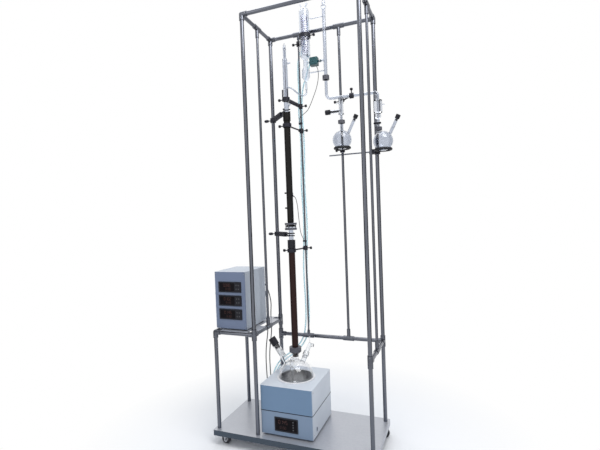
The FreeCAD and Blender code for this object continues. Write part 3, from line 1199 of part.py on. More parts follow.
def extension_boss(head, extension):
    """The right ring's boss head, with a block beside it that holds the level extension rod."""
    foot = (RIGHT, REAR, "%s - boss_height / 2" % extension[2])
    block = box(("boss_height", "boss_height", "boss_height"),
                moved(foot, "-boss_height / 2 - bar_radius", "-boss_height / 2"))
    first = ("%s - 2 * boss_height - bar_radius" % RIGHT, extension[1], extension[2])
    return cut(fuse(head, block), rod("post_radius + bar_gap", "boss_height", foot),
               rod("extension_radius + bar_gap", "2 * boss_height", first, TURNS["x"]))


# ---------------------------------------------------------------- cords

BOX_GLANDS = [("%s + %s" % (BOX_X, side), "%s + box_depth / 2" % BOX_Y, "%s + box_gland_rise" % BOX_FLOOR)
              for side in ("52", "82")]
MANTLE_GLANDS = [("column_x - mantle_width / 2", "gland_side", "tray_height + gland_rise"),
                 ("column_x - mantle_width / 2", "gland_side + 35", "tray_height + gland_rise")]
CLIP_HEIGHTS = ("1947", "1137")


def cable_clips():
    """Small collars on the support rod, each with a short sleeve that holds the end of a lead."""
    clips = []
    for height in CLIP_HEIGHTS:
        at = ("rod_x", REAR, "tray_height + %s + 42" % height)
        sleeve = moved(at, "-(rod_radius + 8)")
        clips.append(cut(fuse(rod("rod_radius + 3", "clip_length", at),
                              rod("thin_lead + 3", "clip_length", sleeve),
                              box(("12", "4", "clip_length"), moved(at, "-(rod_radius + 4)"))),
                         rod("rod_radius + bar_gap", "clip_length", at),
                         rod("thin_lead + gland_bore_gap", "clip_length", sleeve)))
    return clips


def cord(name, radius, points):
    """A cord along rounded straight runs. Prints its tightest bend and how its volume compares."""
    route, tightest = rounded_path(points)
    solid = keep(name, bent(points, radius))
    doc.recompute()
    length = sum(edge.Length for edge in route)
    section = math.pi * value(radius) ** 2
    print("%s: length %.0f, tightest bend %.1f, volume ratio %.4f"
          % (name, length, tightest, solid.Shape.Volume / (section * length)))


def places(*spots):
    """Points given as numbers, as vectors."""
    return [Vector(*spot) for spot in spots]


def cords():
    """The leads of the valve and the column, and the controller's two cables to the mantle."""
    clip_x = value("rod_x - rod_radius - 8")
    rear = value(REAR)
    valve = point(("valve_x", "glass_y + valve_depth / 2 + 2",
                   "tray_height + valve_bottom + valve_height / 4"))
    cord("solenoid_cable", "thin_lead", [valve, valve + Vector(0, 30, 0)] + places(
        (136, 176, 2418), (131, 179, 2362), (117, 174, 2305), (96, 166, 2249), (74, 168, 2203),
        (48, 178, 2169), (14, 184, 2150), (-14, 184, 2136), (clip_x, rear, 2116), (clip_x, rear, 2090)))
    side = value("column_x + column_radius + joint_gap")
    cord("column_lead", "thin_lead", places(
        (side + 1, 0, 1590), (side + 14, 6, 1584), (side + 16, 24, 1556), (4, 45, 1510), (0, 62, 1458),
        (-4, 84, 1409), (-12, 112, 1370), (-20, 146, 1342), (-26, 178, 1322), (clip_x, rear, 1301),
        (clip_x, rear, 1280)))
    for name, gland_at, end_at, lane in (("controller_cable_a", BOX_GLANDS[0], MANTLE_GLANDS[0], 0),
                                         ("controller_cable_b", BOX_GLANDS[1], MANTLE_GLANDS[1], 1)):
        start, end = point(gland_at), point(end_at)
        fall = [start + at for at in places((0, 1, 0), (0, 30, 0), (4, 62, -26))]
        hang = places(
            (8, 190, 945 - 14 * lane), (6, 214, 893), (10, 225, 838), (4, 228, 782), (1, 229, 724),
            (5, 228, 668), (2, 226, 611), (-5, 220, 555), (-8, 210, 498), (-6, 199, 440), (-1, 190, 383),
            (6, 180, 328), (14, 168 + 6 * lane, 276))
        tail = places(
            (-278 + 18 * lane, end.y + 18, 232), (-258 + 8 * lane, end.y + 5, 205), (-236, end.y, end.z),
            (end.x - 1, end.y, end.z))
        cord(name, "cable_radius", fall + [at + Vector(start.x, 0, 0) for at in hang] + tail)


def hoses():
    """The two water hoses, from the condenser's nipples down behind the support rod, past the
    mantle and to the tray beside it."""
    reach = value("glass_y + condenser_radius + nipple_length + joint_gap")
    x = value("condenser_x")
    for name, height, lane in (("water_hose_a", "upper_nipple", 0), ("water_hose_b", "lower_nipple", 1)):
        top = value("%s + %s" % (CONDENSER[2], height))
        bend = places(
            (x, reach, top), (x, reach + 24, top), (x - 5, reach + 46, top - 20), (x - 18, 226, top - 62),
            (x - 46, 231, top - 118))
        side = -33 + 24 * lane
        hang = places(
            (side + 6, 231, 2560), (side, 230, 2450), (side + 3, 232, 2330), (side - 4, 230, 2205),
            (side, 232, 2080), (side + 5, 230, 1955), (side + 1, 232, 1830), (side - 4, 230, 1700),
            (side - 1, 232, 1572), (side + 5, 230, 1445), (side + 2, 232, 1318), (side - 6, 231, 1190),
            (side - 10, 230, 1062), (side - 6, 232, 935), (side - 2, 230, 808), (side - 8, 231, 690),
            (side - 30, 230, 590))
        tail = places(
            (-128 + 20 * lane, 226, 512 - 10 * lane), (-200 + 14 * lane, 228, 462 - 14 * lane),
            (-262 + 14 * lane, 224, 408 - 14 * lane), (-296 + 16 * lane, 208, 336),
            (-304 + 16 * lane, 184, 262), (-300 + 16 * lane, 150, 196),
            (-290 + 18 * lane, 104 - 8 * lane, 144), (-280 + 18 * lane, 50 - 10 * lane, 116),
            (-268 + 16 * lane, -4 - 10 * lane, 105.4), (-262 + 16 * lane, -50 - 10 * lane, 105.2))
        cord(name, "hose_radius", bend + [at for at in hang if at.z < top - 190] + tail)


# ---------------------------------------------------------------- build, check and write

tray()
casters()
frame()
shelf()
mantle_base()
mantle_hood()
mantle_well()
mantle_fittings()
control_box()
rubber_feet()
flask()
flask_fittings()
columns()
joint_clamps()
column_head()
condenser()
solenoid_valve()
riser()
delivery_tube()
takeoffs()
receivers()
supports()
cords()
hoses()
doc.recompute()

failed = [thing.Label for thing in doc.Objects if "Invalid" in thing.State or "Error" in thing.State]
assert not failed, "objects that failed: %s" % ", ".join(failed)
for thing in parts:
    assert not thing.Shape.isNull() and thing.Shape.isValid(), thing.Label + " has no valid shape"

os.makedirs("parts", exist_ok=True)
for thing in parts:
    thing.Shape.exportStep("parts/%s.step" % thing.Label)
    print("%s: %d solids, %.1f cm3" % (thing.Label, len(thing.Shape.Solids), thing.Shape.Volume / 1000))
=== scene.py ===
"""A floor-standing fractional distillation unit: finishes for its packed parts, cords, cooling coil,
display faces and small fittings, and a plain studio."""

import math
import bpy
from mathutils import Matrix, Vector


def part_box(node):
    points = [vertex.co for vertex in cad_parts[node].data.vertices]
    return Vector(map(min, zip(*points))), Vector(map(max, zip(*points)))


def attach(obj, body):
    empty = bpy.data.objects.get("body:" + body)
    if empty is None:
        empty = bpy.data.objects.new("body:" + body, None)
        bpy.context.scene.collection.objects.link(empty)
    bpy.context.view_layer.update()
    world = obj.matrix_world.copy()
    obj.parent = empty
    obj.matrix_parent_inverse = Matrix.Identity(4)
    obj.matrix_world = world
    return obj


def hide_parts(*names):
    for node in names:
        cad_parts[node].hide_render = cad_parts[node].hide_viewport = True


bl_info = {
    "name": "Distillation Unit",
    "version": (1, 0, 0),
    "blender": (4, 5, 0),
    "location": "View3D > Sidebar > Distillation",
    "description": "Finishes, cords, displays and small fittings of a floor-standing distillation unit",
    "category": "Object",
}

import bpy
import numpy as np
from bpy.props import FloatProperty, FloatVectorProperty, IntProperty, PointerProperty

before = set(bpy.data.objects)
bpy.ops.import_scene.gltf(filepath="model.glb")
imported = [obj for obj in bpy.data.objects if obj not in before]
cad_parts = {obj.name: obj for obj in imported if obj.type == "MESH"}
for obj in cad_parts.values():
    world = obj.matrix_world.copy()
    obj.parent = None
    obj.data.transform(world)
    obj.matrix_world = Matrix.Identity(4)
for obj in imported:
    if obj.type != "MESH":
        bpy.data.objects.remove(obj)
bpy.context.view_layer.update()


# ---------------------------------------------------------------- sizes and colours


def tint(name, description, colour):
    """A colour property with its default."""
    return FloatVectorProperty(name=name, description=description, subtype="COLOR", size=3, min=0, max=1,
                               default=colour)


def share(name, description, default):
    """A property from none to all."""
    return FloatProperty(name=name, description=description, default=default, min=0, max=1, subtype="FACTOR")


def distance(name, description, default):
    """A length in metres."""
    return FloatProperty(name=name, description=description, default=default, min=0.0001, max=0.1,
                         unit="LENGTH", subtype="DISTANCE")


def amount(name, description, default, most, unit="NONE"):
    """A number with its unit."""
    return FloatProperty(name=name, description=description, default=default, min=0, max=most, unit=unit)


class DistillationMetals(bpy.types.PropertyGroup):
    """Colours and dullness of the metal parts."""

    # The tube is polished stainless, but its colour is set darker than bare stainless: a painted reflection
    # of dark surroundings.
    tube: tint("Tube", "Polished stainless tube of the frame", (0.165, 0.175, 0.205))
    sheet: tint("Sheet", "Brushed stainless sheet of the tray and the shelf", (0.50, 0.515, 0.56))
    # The tray lip's colour is painted shade: the brushed sheet darkened on the faces that look to the front.
    lip: tint("Tray lip", "The tray's upright lip, as seen from the front", (0.06, 0.08, 0.105))
    plated: tint("Plated", "Plated steel of the casters and screws", (0.42, 0.43, 0.46))
    coated: tint("Coated", "Dark coated boss heads, clamps and rings", (0.012, 0.012, 0.018))
    clip: tint("Joint clip", "Grey clips on the ground joints", (0.075, 0.075, 0.088))
    tube_dullness: share("Tube roughness", "How dull the frame's tube is", 0.15)
    sheet_dullness: share("Sheet roughness", "How dull the sheet metal is", 0.36)


class DistillationCoats(bpy.types.PropertyGroup):
    """Colours of the powder coats, plastics and cloth."""

    # The hood's and the base's front colours are painted shade: the pale coat of the top and sides, darker
    # and bluer where it faces the front.
    hood_front_shade: tint("Hood front", "Blue-grey coat of the front of the mantle's hood", (0.15, 0.24, 0.365))
    base_front_shade: tint("Base front", "Blue-grey coat of the front of the mantle's base", (0.20, 0.27, 0.375))
    mantle_shell: tint("Mantle shell", "Pale coat of the mantle's top and sides", (0.60, 0.64, 0.70))
    # The control box's front colour is painted shade: its pale coat darkened where it faces the front.
    case_front_shade: tint("Case front", "Blue-grey coat of the control box's front", (0.165, 0.205, 0.305))
    case_shell: tint("Case shell", "Pale coat of the control box's top and sides", (0.46, 0.50, 0.56))
    window: tint("Window", "Smoked windows of the displays", (0.006, 0.005, 0.006))
    black: tint("Black plastic", "Caps, knobs, bezels and wheels", (0.012, 0.012, 0.016))
    rubber: tint("Rubber", "Feet and cable sheaths", (0.018, 0.019, 0.022))
    valve: tint("Valve", "Coil housing of the reflux valve", (0.006, 0.05, 0.058))
    weave: tint("Heated well", "Woven glass fibre of the heated well", (0.95, 0.95, 0.97))
    figures: tint("Figures", "Lit figures of the displays", (0.05, 0.012, 0.008))


class DistillationGlass(bpy.types.PropertyGroup):
    """Colours of the glass, the column sections and the water hoses."""

    clear: tint("Clear glass", "Borosilicate glass of the tubes and receivers", (0.70, 0.73, 0.79))
    flask: tint("Flask glass", "Borosilicate glass of the flask and its fittings", (0.95, 0.96, 0.975))
    jacket: tint("Jacket glass", "Borosilicate glass of the condenser's jacket", (0.85, 0.88, 0.93))
    lower_column: tint("Lower column", "Reddish brown jacket of the lower column", (0.022, 0.010, 0.009))
    upper_column: tint("Upper column", "Olive black jacket of the upper column", (0.011, 0.010, 0.009))
    hose: tint("Water hose", "Translucent pale blue hose", (0.56, 0.78, 0.91))
    coil_turns: IntProperty(name="Coil turns", description="Turns of the cooling coil", default=19, min=3,
                            max=60)
    coil_tube: distance("Coil tube", "Radius of the coil's tube", 0.003)
    coil_radius: distance("Coil radius", "Radius of the coil's centre line", 0.0205)


class DistillationCords(bpy.types.PropertyGroup):
    """Radii of the cords."""

    lead: distance("Lead radius", "Radius of the thin leads", 0.002)
    cable: distance("Cable radius", "Radius of the controller's cables", 0.0035)
    hose: distance("Hose radius", "Radius of the water hoses", 0.005)


class DistillationStudio(bpy.types.PropertyGroup):
    """The floor, the lights and the camera."""

    floor: tint("Floor", "Pale floor", (0.86, 0.86, 0.87))
    sky: amount("Sky", "Strength of the sky's light", 0.62, 3)
    key: amount("Key light", "Power of the large light on the right", 95, 1000, "POWER")
    lens: amount("Lens", "The camera's focal length", 24.39, 200, "CAMERA")


GROUPS = {"distillation_metals": DistillationMetals, "distillation_coats": DistillationCoats,
          "distillation_glass": DistillationGlass, "distillation_cords": DistillationCords,
          "distillation_studio": DistillationStudio}


# ---------------------------------------------------------------- shader node groups


def filled(tree, node, values):
    """A node with its inputs set by name: a socket is linked, and a value is set."""
    for name, value in values.items():
        if isinstance(value, bpy.types.NodeSocket):
            tree.links.new(value, node.inputs[name])
        else:
            node.inputs[name].default_value = value
    return node


def add(tree, kind, values=None, **settings):
    """A node of a kind with its properties and inputs."""
    node = tree.nodes.new("ShaderNode" + kind)
    for name, value in settings.items():
        setattr(node, name, value)
    return filled(tree, node, values or {})


def worked(tree, operation, *values):
    """The result of a Math node."""
    return add(tree, "Math", dict(enumerate(values)), operation=operation).outputs[0]


def noise(tree, place, scale, detail, **values):
    """A noise value, the factor of a Noise Texture."""
    return add(tree, "TexNoise", {"Vector": place, "Scale": scale, "Detail": detail, **values}).outputs["Fac"]


def blended(tree, factor, first, second):
    """A colour between two, by a factor."""
    return add(tree, "Mix", {0: factor, 6: first, 7: second}, data_type="RGBA").outputs[2]


def mixed(tree, factor, first, second):
    """A value between two, by a factor."""
    return add(tree, "Mix", {0: factor, 2: first, 3: second}).outputs[0]


def spread(tree, source, low, high, to_low=0.0, to_high=1.0):
    """A value taken from one span to another and held inside it."""
    return add(tree, "MapRange", {"Value": source, "From Min": low, "From Max": high, "To Min": to_low,
                                  "To Max": to_high}).outputs["Result"]


def place_of(tree):
    """The Object coordinates."""
    return add(tree, "TexCoord").outputs["Object"]


def node_group(name, make, inputs):
    """A shader node group. Its inputs are names with their defaults, each a number, a vector or a colour
    of four parts. The function that makes it gets their sockets and gives the outputs by name."""
    tree = bpy.data.node_groups.new(name, "ShaderNodeTree")
    for label, default in inputs.items():
        kind = "Float" if isinstance(default, float) else "Color" if len(default) == 4 else "Vector"
        socket = tree.interface.new_socket(name=label, in_out="INPUT", socket_type="NodeSocket" + kind)
        socket.default_value = default
    entry, leave = tree.nodes.new("NodeGroupInput"), tree.nodes.new("NodeGroupOutput")
    for label, source in make(tree, entry.outputs).items():
        tree.interface.new_socket(name=label, in_out="OUTPUT",
                                  socket_type="NodeSocketColor" if label == "Colour" else "NodeSocketFloat")
        tree.links.new(source, leave.inputs[label])
    return tree


def surface_wear(tree, entry):
    """Fine grain, stretched by a scale along each axis, and broad soft smudges. They shift a colour
    towards a worn one, move the roughness between two values and give a height."""
    place = place_of(tree)
    stretched = add(tree, "VectorMath", {0: place, 1: entry["Grain Scale"]}, operation="MULTIPLY").outputs[0]
    grain = noise(tree, stretched, 1.0, 3.0, Roughness=0.6)
    smudge = noise(tree, place, entry["Smudge Scale"], 4.0)
    both = mixed(tree, entry["Grain Share"], spread(tree, smudge, 0.35, 0.7), spread(tree, grain, 0.3, 0.7))
    return {"Colour": blended(tree, both, entry["Colour"], entry["Worn Colour"]),
            "Roughness": spread(tree, both, 0.1, 0.9, entry["Roughness Low"], entry["Roughness High"]),
            "Height": grain}


def painted_front_shade(tree, entry):
    """A coat that differs on the faces that look to the front, by how far the surface's normal points along a
    direction. This is a painted shade: the front gets a darker colour that stands for the shade it is in."""
    normal = add(tree, "NewGeometry").outputs["Normal"]
    towards = add(tree, "VectorMath", {0: normal, 1: entry["Direction"]}, operation="DOT_PRODUCT")
    mask = spread(tree, towards.outputs["Value"], 0.15, 0.85)
    return {"Colour": blended(tree, mask, entry["Colour"], entry["Shaded Front Colour"])}


def settled_dust(tree, entry):
    """Dust on faces that look up: how far the normal points up times a speckle, which pales a colour."""
    upward = add(tree, "SeparateXYZ", {0: add(tree, "NewGeometry").outputs["Normal"]}).outputs["Z"]
    speckle = noise(tree, place_of(tree), 60.0, 5.0)
    patch = worked(tree, "MULTIPLY", spread(tree, upward, 0.3, 1.0), spread(tree, speckle, 0.35, 0.75))
    mask = worked(tree, "MULTIPLY", patch, entry["Amount"])
    return {"Colour": blended(tree, mask, entry["Colour"], entry["Dust Colour"])}


def frosted_band(tree, entry):
    """A band that is ground dull, where the height lies within half the width of the band's middle, with
    a soft edge and a fine speckle."""
    place = place_of(tree)
    height = add(tree, "SeparateXYZ", {0: place}).outputs["Z"]
    away = worked(tree, "ABSOLUTE", worked(tree, "SUBTRACT", height, entry["Middle"]))
    mask = spread(tree, worked(tree, "SUBTRACT", entry["Half Width"], away), -0.0006, 0.0006)
    speckle = spread(tree, noise(tree, place, 900.0, 2.0), 0.3, 0.7, 0.85, 1.15)
    ground = worked(tree, "MULTIPLY", entry["Ground Roughness"], speckle)
    return {"Roughness": mixed(tree, mask, entry["Roughness"], ground)}


def woven_cloth(tree, entry):
    """A plain weave in a bowl: warp and weft are sine ridges of the angle round the vertical axis and of the
    height, each shown where the other dips, and a fine noise for fibres. The colour falls to the darker Shade
    in the dips, a painted shade between the threads."""
    place = place_of(tree)
    away = add(tree, "VectorMath", {0: place, 1: entry["Middle"]}, operation="SUBTRACT").outputs[0]
    part = add(tree, "SeparateXYZ", {0: away}).outputs
    angle = worked(tree, "ARCTAN2", part["Y"], part["X"])
    warp = worked(tree, "SINE", worked(tree, "MULTIPLY", angle, entry["Threads"]))
    level = worked(tree, "DIVIDE", part["Z"], entry["Pitch"])
    weft = worked(tree, "SINE", worked(tree, "MULTIPLY", level, 2 * math.pi))
    ridges = worked(tree, "MULTIPLY_ADD", worked(tree, "MULTIPLY", warp, weft), 0.5, 0.5)
    height = mixed(tree, 0.25, ridges, noise(tree, place, 700.0, 3.0))
    return {"Colour": blended(tree, spread(tree, height, 0.2, 0.8), entry["Shade"], entry["Colour"]),
            "Height": height}


GREY = (0.5, 0.5, 0.5, 1)
EFFECTS = {
    "Surface Wear": (surface_wear, {
        "Colour": GREY, "Worn Colour": GREY, "Grain Scale": (100, 100, 100), "Smudge Scale": 6.0,
        "Grain Share": 0.5, "Roughness Low": 0.3, "Roughness High": 0.5}),
    # painted shade: a darker colour on the faces that look to the front
    "Painted Front Shade": (painted_front_shade, {"Shaded Front Colour": GREY, "Colour": GREY, "Direction": (0, -1, 0)}),
    "Settled Dust": (settled_dust, {"Colour": GREY, "Dust Colour": (0.72, 0.71, 0.7, 1), "Amount": 0.2}),
    "Frosted Band": (frosted_band, {
        "Middle": 1.0, "Half Width": 0.02, "Roughness": 0.02, "Ground Roughness": 0.45}),
    "Woven Cloth": (woven_cloth, {
        "Colour": GREY, "Shade": GREY, "Middle": (0, 0, 0), "Threads": 160.0, "Pitch": 0.004}),
}


def effect(tree, name, values):
    """The outputs of one of the shared node groups, placed in a material with its own values."""
    if name not in bpy.data.node_groups:
        make, inputs = EFFECTS[name]
        node_group(name, make, inputs)
    node = tree.nodes.new("ShaderNodeGroup")
    node.node_tree = bpy.data.node_groups[name]
    return filled(tree, node, values).outputs


# ---------------------------------------------------------------- materials


def four(colour, factor=1.0):
    """A colour with alpha, made lighter or darker."""
    return tuple(min(1.0, part * factor) for part in colour[:3]) + (1.0,)


def blank(name):
    """A new material with its node tree and its Principled shader."""
    look = bpy.data.materials.new(name)
    look.use_nodes = True
    return look, look.node_tree, look.node_tree.nodes["Principled BSDF"]


def relief(tree, height, strength, depth):
    """A normal bent by a height."""
    return add(tree, "Bump", {"Strength": strength, "Distance": depth, "Height": height}).outputs["Normal"]


def finish(name, colour, dullness, grain=400, grain_share=0.5, worn=0.85, smudge=5.0, bump=0.05, dust=0.0,
           shaded_front=None, sockets=None):
    """An opaque material: a painted shade on the faces that look to the front, if a colour for it is given,
    then Surface Wear and Settled Dust, feed a Principled shader, whose other inputs are plain values. The
    grain has one scale or three."""
    if name in bpy.data.materials:
        return bpy.data.materials[name]
    look, tree, shader = blank(name)
    plain, tired = four(colour), four(colour, worn)
    if shaded_front is not None:
        plain = effect(tree, "Painted Front Shade", {"Shaded Front Colour": four(shaded_front), "Colour": plain})["Colour"]
        tired = effect(tree, "Painted Front Shade", {"Shaded Front Colour": four(shaded_front, worn), "Colour": tired})["Colour"]
    wear = effect(tree, "Surface Wear", {
        "Colour": plain, "Worn Colour": tired, "Smudge Scale": smudge, "Grain Share": grain_share,
        "Grain Scale": grain if isinstance(grain, tuple) else (grain,) * 3,
        "Roughness Low": dullness * 0.8, "Roughness High": dullness * 1.25})
    shade = wear["Colour"]
    if dust:
        shade = effect(tree, "Settled Dust", {"Colour": shade, "Amount": dust})["Colour"]
    filled(tree, shader, {"Base Color": shade, "Roughness": wear["Roughness"],
                          "Normal": relief(tree, wear["Height"], bump, 0.0005), **(sockets or {})})
    return look


def glass(name, colour, bands=()):
    """Blown glass: clear and a little uneven, with ground bands, each as (low, high) in height."""
    look, tree, shader = blank(name)
    wear = effect(tree, "Surface Wear", {
        "Colour": four(colour), "Worn Colour": four(colour, 0.97), "Grain Scale": (30, 30, 12),
        "Smudge Scale": 14.0, "Grain Share": 0.3, "Roughness Low": 0.0, "Roughness High": 0.03})
    dull = wear["Roughness"]
    for low, high in bands:
        dull = effect(tree, "Frosted Band", {"Middle": (low + high) / 2, "Half Width": (high - low) / 2,
                                             "Roughness": dull})["Roughness"]
    filled(tree, shader, {"Base Color": wear["Colour"], "Roughness": dull, "Transmission Weight": 1.0,
                          "IOR": 1.47, "Normal": relief(tree, wear["Height"], 0.06, 0.002)})
    return look


def cloth(name, colour, middle):
    """The woven glass fibre of the heated well."""
    look, tree, shader = blank(name)
    # The darker colour at 0.55 of the weave paints the shade in the weave's dips.
    weave = effect(tree, "Woven Cloth",
                   {"Colour": four(colour), "Shade": four(colour, 0.55), "Middle": middle})
    filled(tree, shader, {"Base Color": weave["Colour"], "Roughness": 0.92, "Sheen Weight": 0.25,
                          "Normal": relief(tree, weave["Height"], 0.6, 0.001)})
    return look


def black_plastic():
    """Moulded black plastic with a fine grain, for caps, knobs, bezels and boots."""
    coats = bpy.context.scene.distillation_coats
    return finish("moulded_black", coats.black, 0.42, grain=900, worn=1.7, dust=0.02, bump=0.12,
                  sockets={"Specular IOR Level": 0.2})


def plated_steel():
    """Plated steel of screws, nuts and clips."""
    metals = bpy.context.scene.distillation_metals
    return finish("plated_steel", metals.plated, 0.3, grain=500, worn=0.8, sockets={"Metallic": 1.0})


def display_keys():
    """Dark grey rubber of the push keys."""
    return finish("display_keys", (0.05, 0.05, 0.055), 0.45, worn=1.4)


def dress(look, *nodes):
    """Gives CAD nodes a material in place of their own."""
    for name in nodes:
        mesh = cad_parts[name].data
        mesh.materials.clear()
        mesh.materials.append(look)


# ---------------------------------------------------------------- surfaces worked out with numpy


def across(axis):
    """Two unit vectors across an axis that make a right-handed set with it; the first is level."""
    axis = np.array(axis, float) / np.linalg.norm(axis)
    aid = np.array([0.0, 0, 1]) if abs(axis[2]) < 0.9 else np.array([0.0, 1, 0])
    first = np.cross(aid, axis)
    first /= np.linalg.norm(first)
    return first, np.cross(axis, first), axis


def lofted(points, closed=False):
    """A skin over rings of points, rows by columns: each face joins two neighbours of one ring to
    those of the next. The last ring joins the first if closed, and otherwise each end gets a lid."""
    rows, columns = points.shape[:2]
    row, column = np.meshgrid(np.arange(rows if closed else rows - 1), np.arange(columns), indexing="ij")
    ahead, beside = (row + 1) % rows, (column + 1) % columns
    faces = np.stack([row * columns + column, row * columns + beside, ahead * columns + beside,
                      ahead * columns + column], -1).reshape(-1, 4).tolist()
    if not closed:
        faces.append(list(range(columns - 1, -1, -1)))
        faces.append(list(range((rows - 1) * columns, rows * columns)))
    return points.reshape(-1, 3), faces


def ringed(radius, height, centre, axis, closed=False):
    """Rings round an axis: at the angle a, a ring's point is centre + radius (cos a · first + sin a ·
    second) + height · axis. The radius has a row for each ring and a column for each angle."""
    first, second, axis = across(axis)
    angle = np.linspace(0, 2 * np.pi, radius.shape[1], endpoint=False)
    spoke = np.cos(angle)[:, None] * first + np.sin(angle)[:, None] * second
    points = np.array(centre) + radius[..., None] * spoke + np.asarray(height)[:, None, None] * axis
    return lofted(points, closed)


def turned(profile, centre, axis, sides=24, closed=False):
    """A profile of (radius, height) pairs turned round an axis."""
    radius, height = np.array(profile, float).T
    return ringed(np.repeat(radius[:, None], sides, 1), height, centre, axis, closed)


def sleeve(outside, inside, centre, axis, sides=24):
    """A hollow turned piece: up its outside and down its inside, as one closed loop."""
    return turned(list(outside) + list(inside)[::-1], centre, axis, sides, closed=True)


def plaque(width, height, corner, levels, centre, axis, sides=32, closed=False):
    """Rounded rectangles stacked along an axis. At a level with inset i and rise h the corner's radius
    is corner − i, and the point at the angle a is its corner's centre + that radius (cos a, sin a)."""
    first, second, axis = across(axis)
    angle = (np.arange(sides) + 0.5) * 2 * np.pi / sides
    turn = np.stack([np.cos(angle), np.sin(angle)], -1)
    inset, rise = np.array(levels, float).T[..., None, None]
    radius = np.maximum(corner - inset, 0.0003)
    flat = np.sign(turn) * (np.array([width, height]) / 2 - inset - radius) + radius * turn
    points = np.array(centre) + flat[..., :1] * first + flat[..., 1:] * second + rise * axis
    return lofted(points, closed)


def swept(path, radius, sides=12):
    """A tube along a path that is nowhere upright: at each point a circle of the radius across the
    path, from the level vector across it to the one that completes the set."""
    along = np.gradient(path, axis=0)
    along /= np.linalg.norm(along, axis=1)[:, None]
    level = np.cross(along, [0.0, 0, 1])
    level /= np.linalg.norm(level, axis=1)[:, None]
    other = np.cross(along, level)
    angle = np.linspace(0, 2 * np.pi, sides, endpoint=False)[None, :, None]
    return lofted(path[:, None] + radius * (np.cos(angle) * level[:, None] + np.sin(angle) * other[:, None]))


def socket_screw(centre, axis, radius=0.003, rise=0.0008):
    """A set screw's end with a hexagon socket. Round the socket the radius at the angle a is
    apothem / cos(((a + 30°) mod 60°) − 30°)."""
    angle = np.linspace(0, 360, 24, endpoint=False)
    socket = 0.5 * radius / np.cos(np.radians((angle + 30) % 60 - 30))
    whole = np.ones(24)
    rings = np.stack([radius * whole, radius * whole, 0.86 * radius * whole, socket, socket * 0.98])
    return ringed(rings, [-0.002, rise - 0.0004, rise, rise, rise - 0.0015], centre, axis)


def hexagon_nut(centre, axis, apothem, height):
    """A nut or bolt head: a hexagon with its corners drawn in above, closed by a low dome."""
    angle = np.linspace(0, 360, 24, endpoint=False)
    hexagon = apothem / np.cos(np.radians((angle + 30) % 60 - 30))
    rings = np.stack([hexagon, hexagon, np.minimum(hexagon, apothem * 1.02), np.full(24, apothem * 0.45)])
    return ringed(rings, [0, height * 0.8, height, height * 1.08], centre, axis)


def pan_screw(centre, axis, radius=0.0035, rise=0.0016):
    """A domed screw head with a cross slot's round well in its middle."""
    profile = [(radius, -0.0006), (radius, 0.2 * rise), (0.86 * radius, 0.72 * rise), (0.5 * radius, rise),
               (0.3 * radius, rise), (0.22 * radius, 0.45 * rise)]
    return turned(profile, centre, axis, 20)


def fluted_knob(centre, axis, radius, length, flutes=8):
    """A thumb knob: its radius waves with the angle, radius (1 − 0.07 (1 − cos(flutes a)) / 2), and the
    ends are rounded in."""
    angle = np.linspace(0, 2 * np.pi, 8 * flutes, endpoint=False)
    wave = 1 - 0.07 * (1 - np.cos(flutes * angle)) / 2
    share_of = np.array([0.82, 0.95, 1.0, 1.0, 0.94, 0.80, 0.45])
    height = np.array([0.0, 0.03, 0.12, 0.80, 0.94, 1.0, 1.02]) * length
    return ringed(radius * share_of[:, None] * wave, height, centre, axis)


FIGURE_BARS = {"a": (0.5, 2, 0), "b": (1, 1.5, 1), "c": (1, 0.5, 1), "d": (0.5, 0, 0), "e": (0, 0.5, 1),
               "f": (0, 1.5, 1), "g": (0.5, 1, 0)}
FIGURE_SHAPES = {"0": "abcdef", "1": "bc", "2": "abdeg", "4": "bcfg", "5": "acdfg", "6": "acdefg",
                 "8": "abcdefg"}


def seven_bar_figures(text, centre, axis, height, rise=0.0002):
    """Figures of seven bars, centred on a point. Each bar is a flat hexagon of the length height / 2 and
    the half width height / 18, laid level or upright at its place in the figure's cell."""
    first, second, axis = across(axis)
    cell, half, thick = height * 0.72, height * 0.21, height / 18
    bars = np.array([(index * cell + (x - 0.5) * height / 2, (y - 1) * height / 2, upright)
                     for index, figure in enumerate(text)
                     for x, y, upright in (FIGURE_BARS[bar] for bar in FIGURE_SHAPES[figure])])
    bars[:, 0] -= (len(text) - 1) * cell / 2
    level = np.array([[-half, 0], [thick - half, -thick], [half - thick, -thick], [half, 0],
                      [half - thick, thick], [thick - half, thick]])
    upright = np.stack([-level[:, 1], level[:, 0]], -1)
    outline = np.where(bars[:, 2, None, None] > 0.5, upright, level) + bars[:, None, :2]
    flat = np.array(centre) + outline[..., :1] * first + outline[..., 1:] * second
    return [lofted(np.stack([bar, bar + rise * axis])) for bar in flat]


CREASE = math.radians(35)


def made(name, surfaces, look):
    """One object at the origin from surfaces, each (points, faces)."""
    starts = np.cumsum([0] + [len(points) for points, skin in surfaces])
    faces = [[corner + start for corner in face]
             for start, (points, skin) in zip(starts.tolist(), surfaces) for face in skin]
    mesh = bpy.data.meshes.new(name)
    mesh.from_pydata(np.concatenate([points for points, skin in surfaces]), [], faces)
    mesh.materials.append(look)
    thing = bpy.data.objects.new(name, mesh)
    bpy.context.scene.collection.objects.link(thing)
    return thing


def piece(name, surfaces, look, body="unit", *, slot):
    """A made object that rides on a body, shaded smooth up to a crease. The slot is not used."""
    thing = made(name, surfaces, look)
    thing.data.shade_smooth()
    thing.data.set_sharp_from_angle(angle=CREASE)
    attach(thing, body)
    return thing


def corners(node):
    """The low and the high corner of a CAD node's box."""
    return [np.array(corner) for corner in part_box(node)]


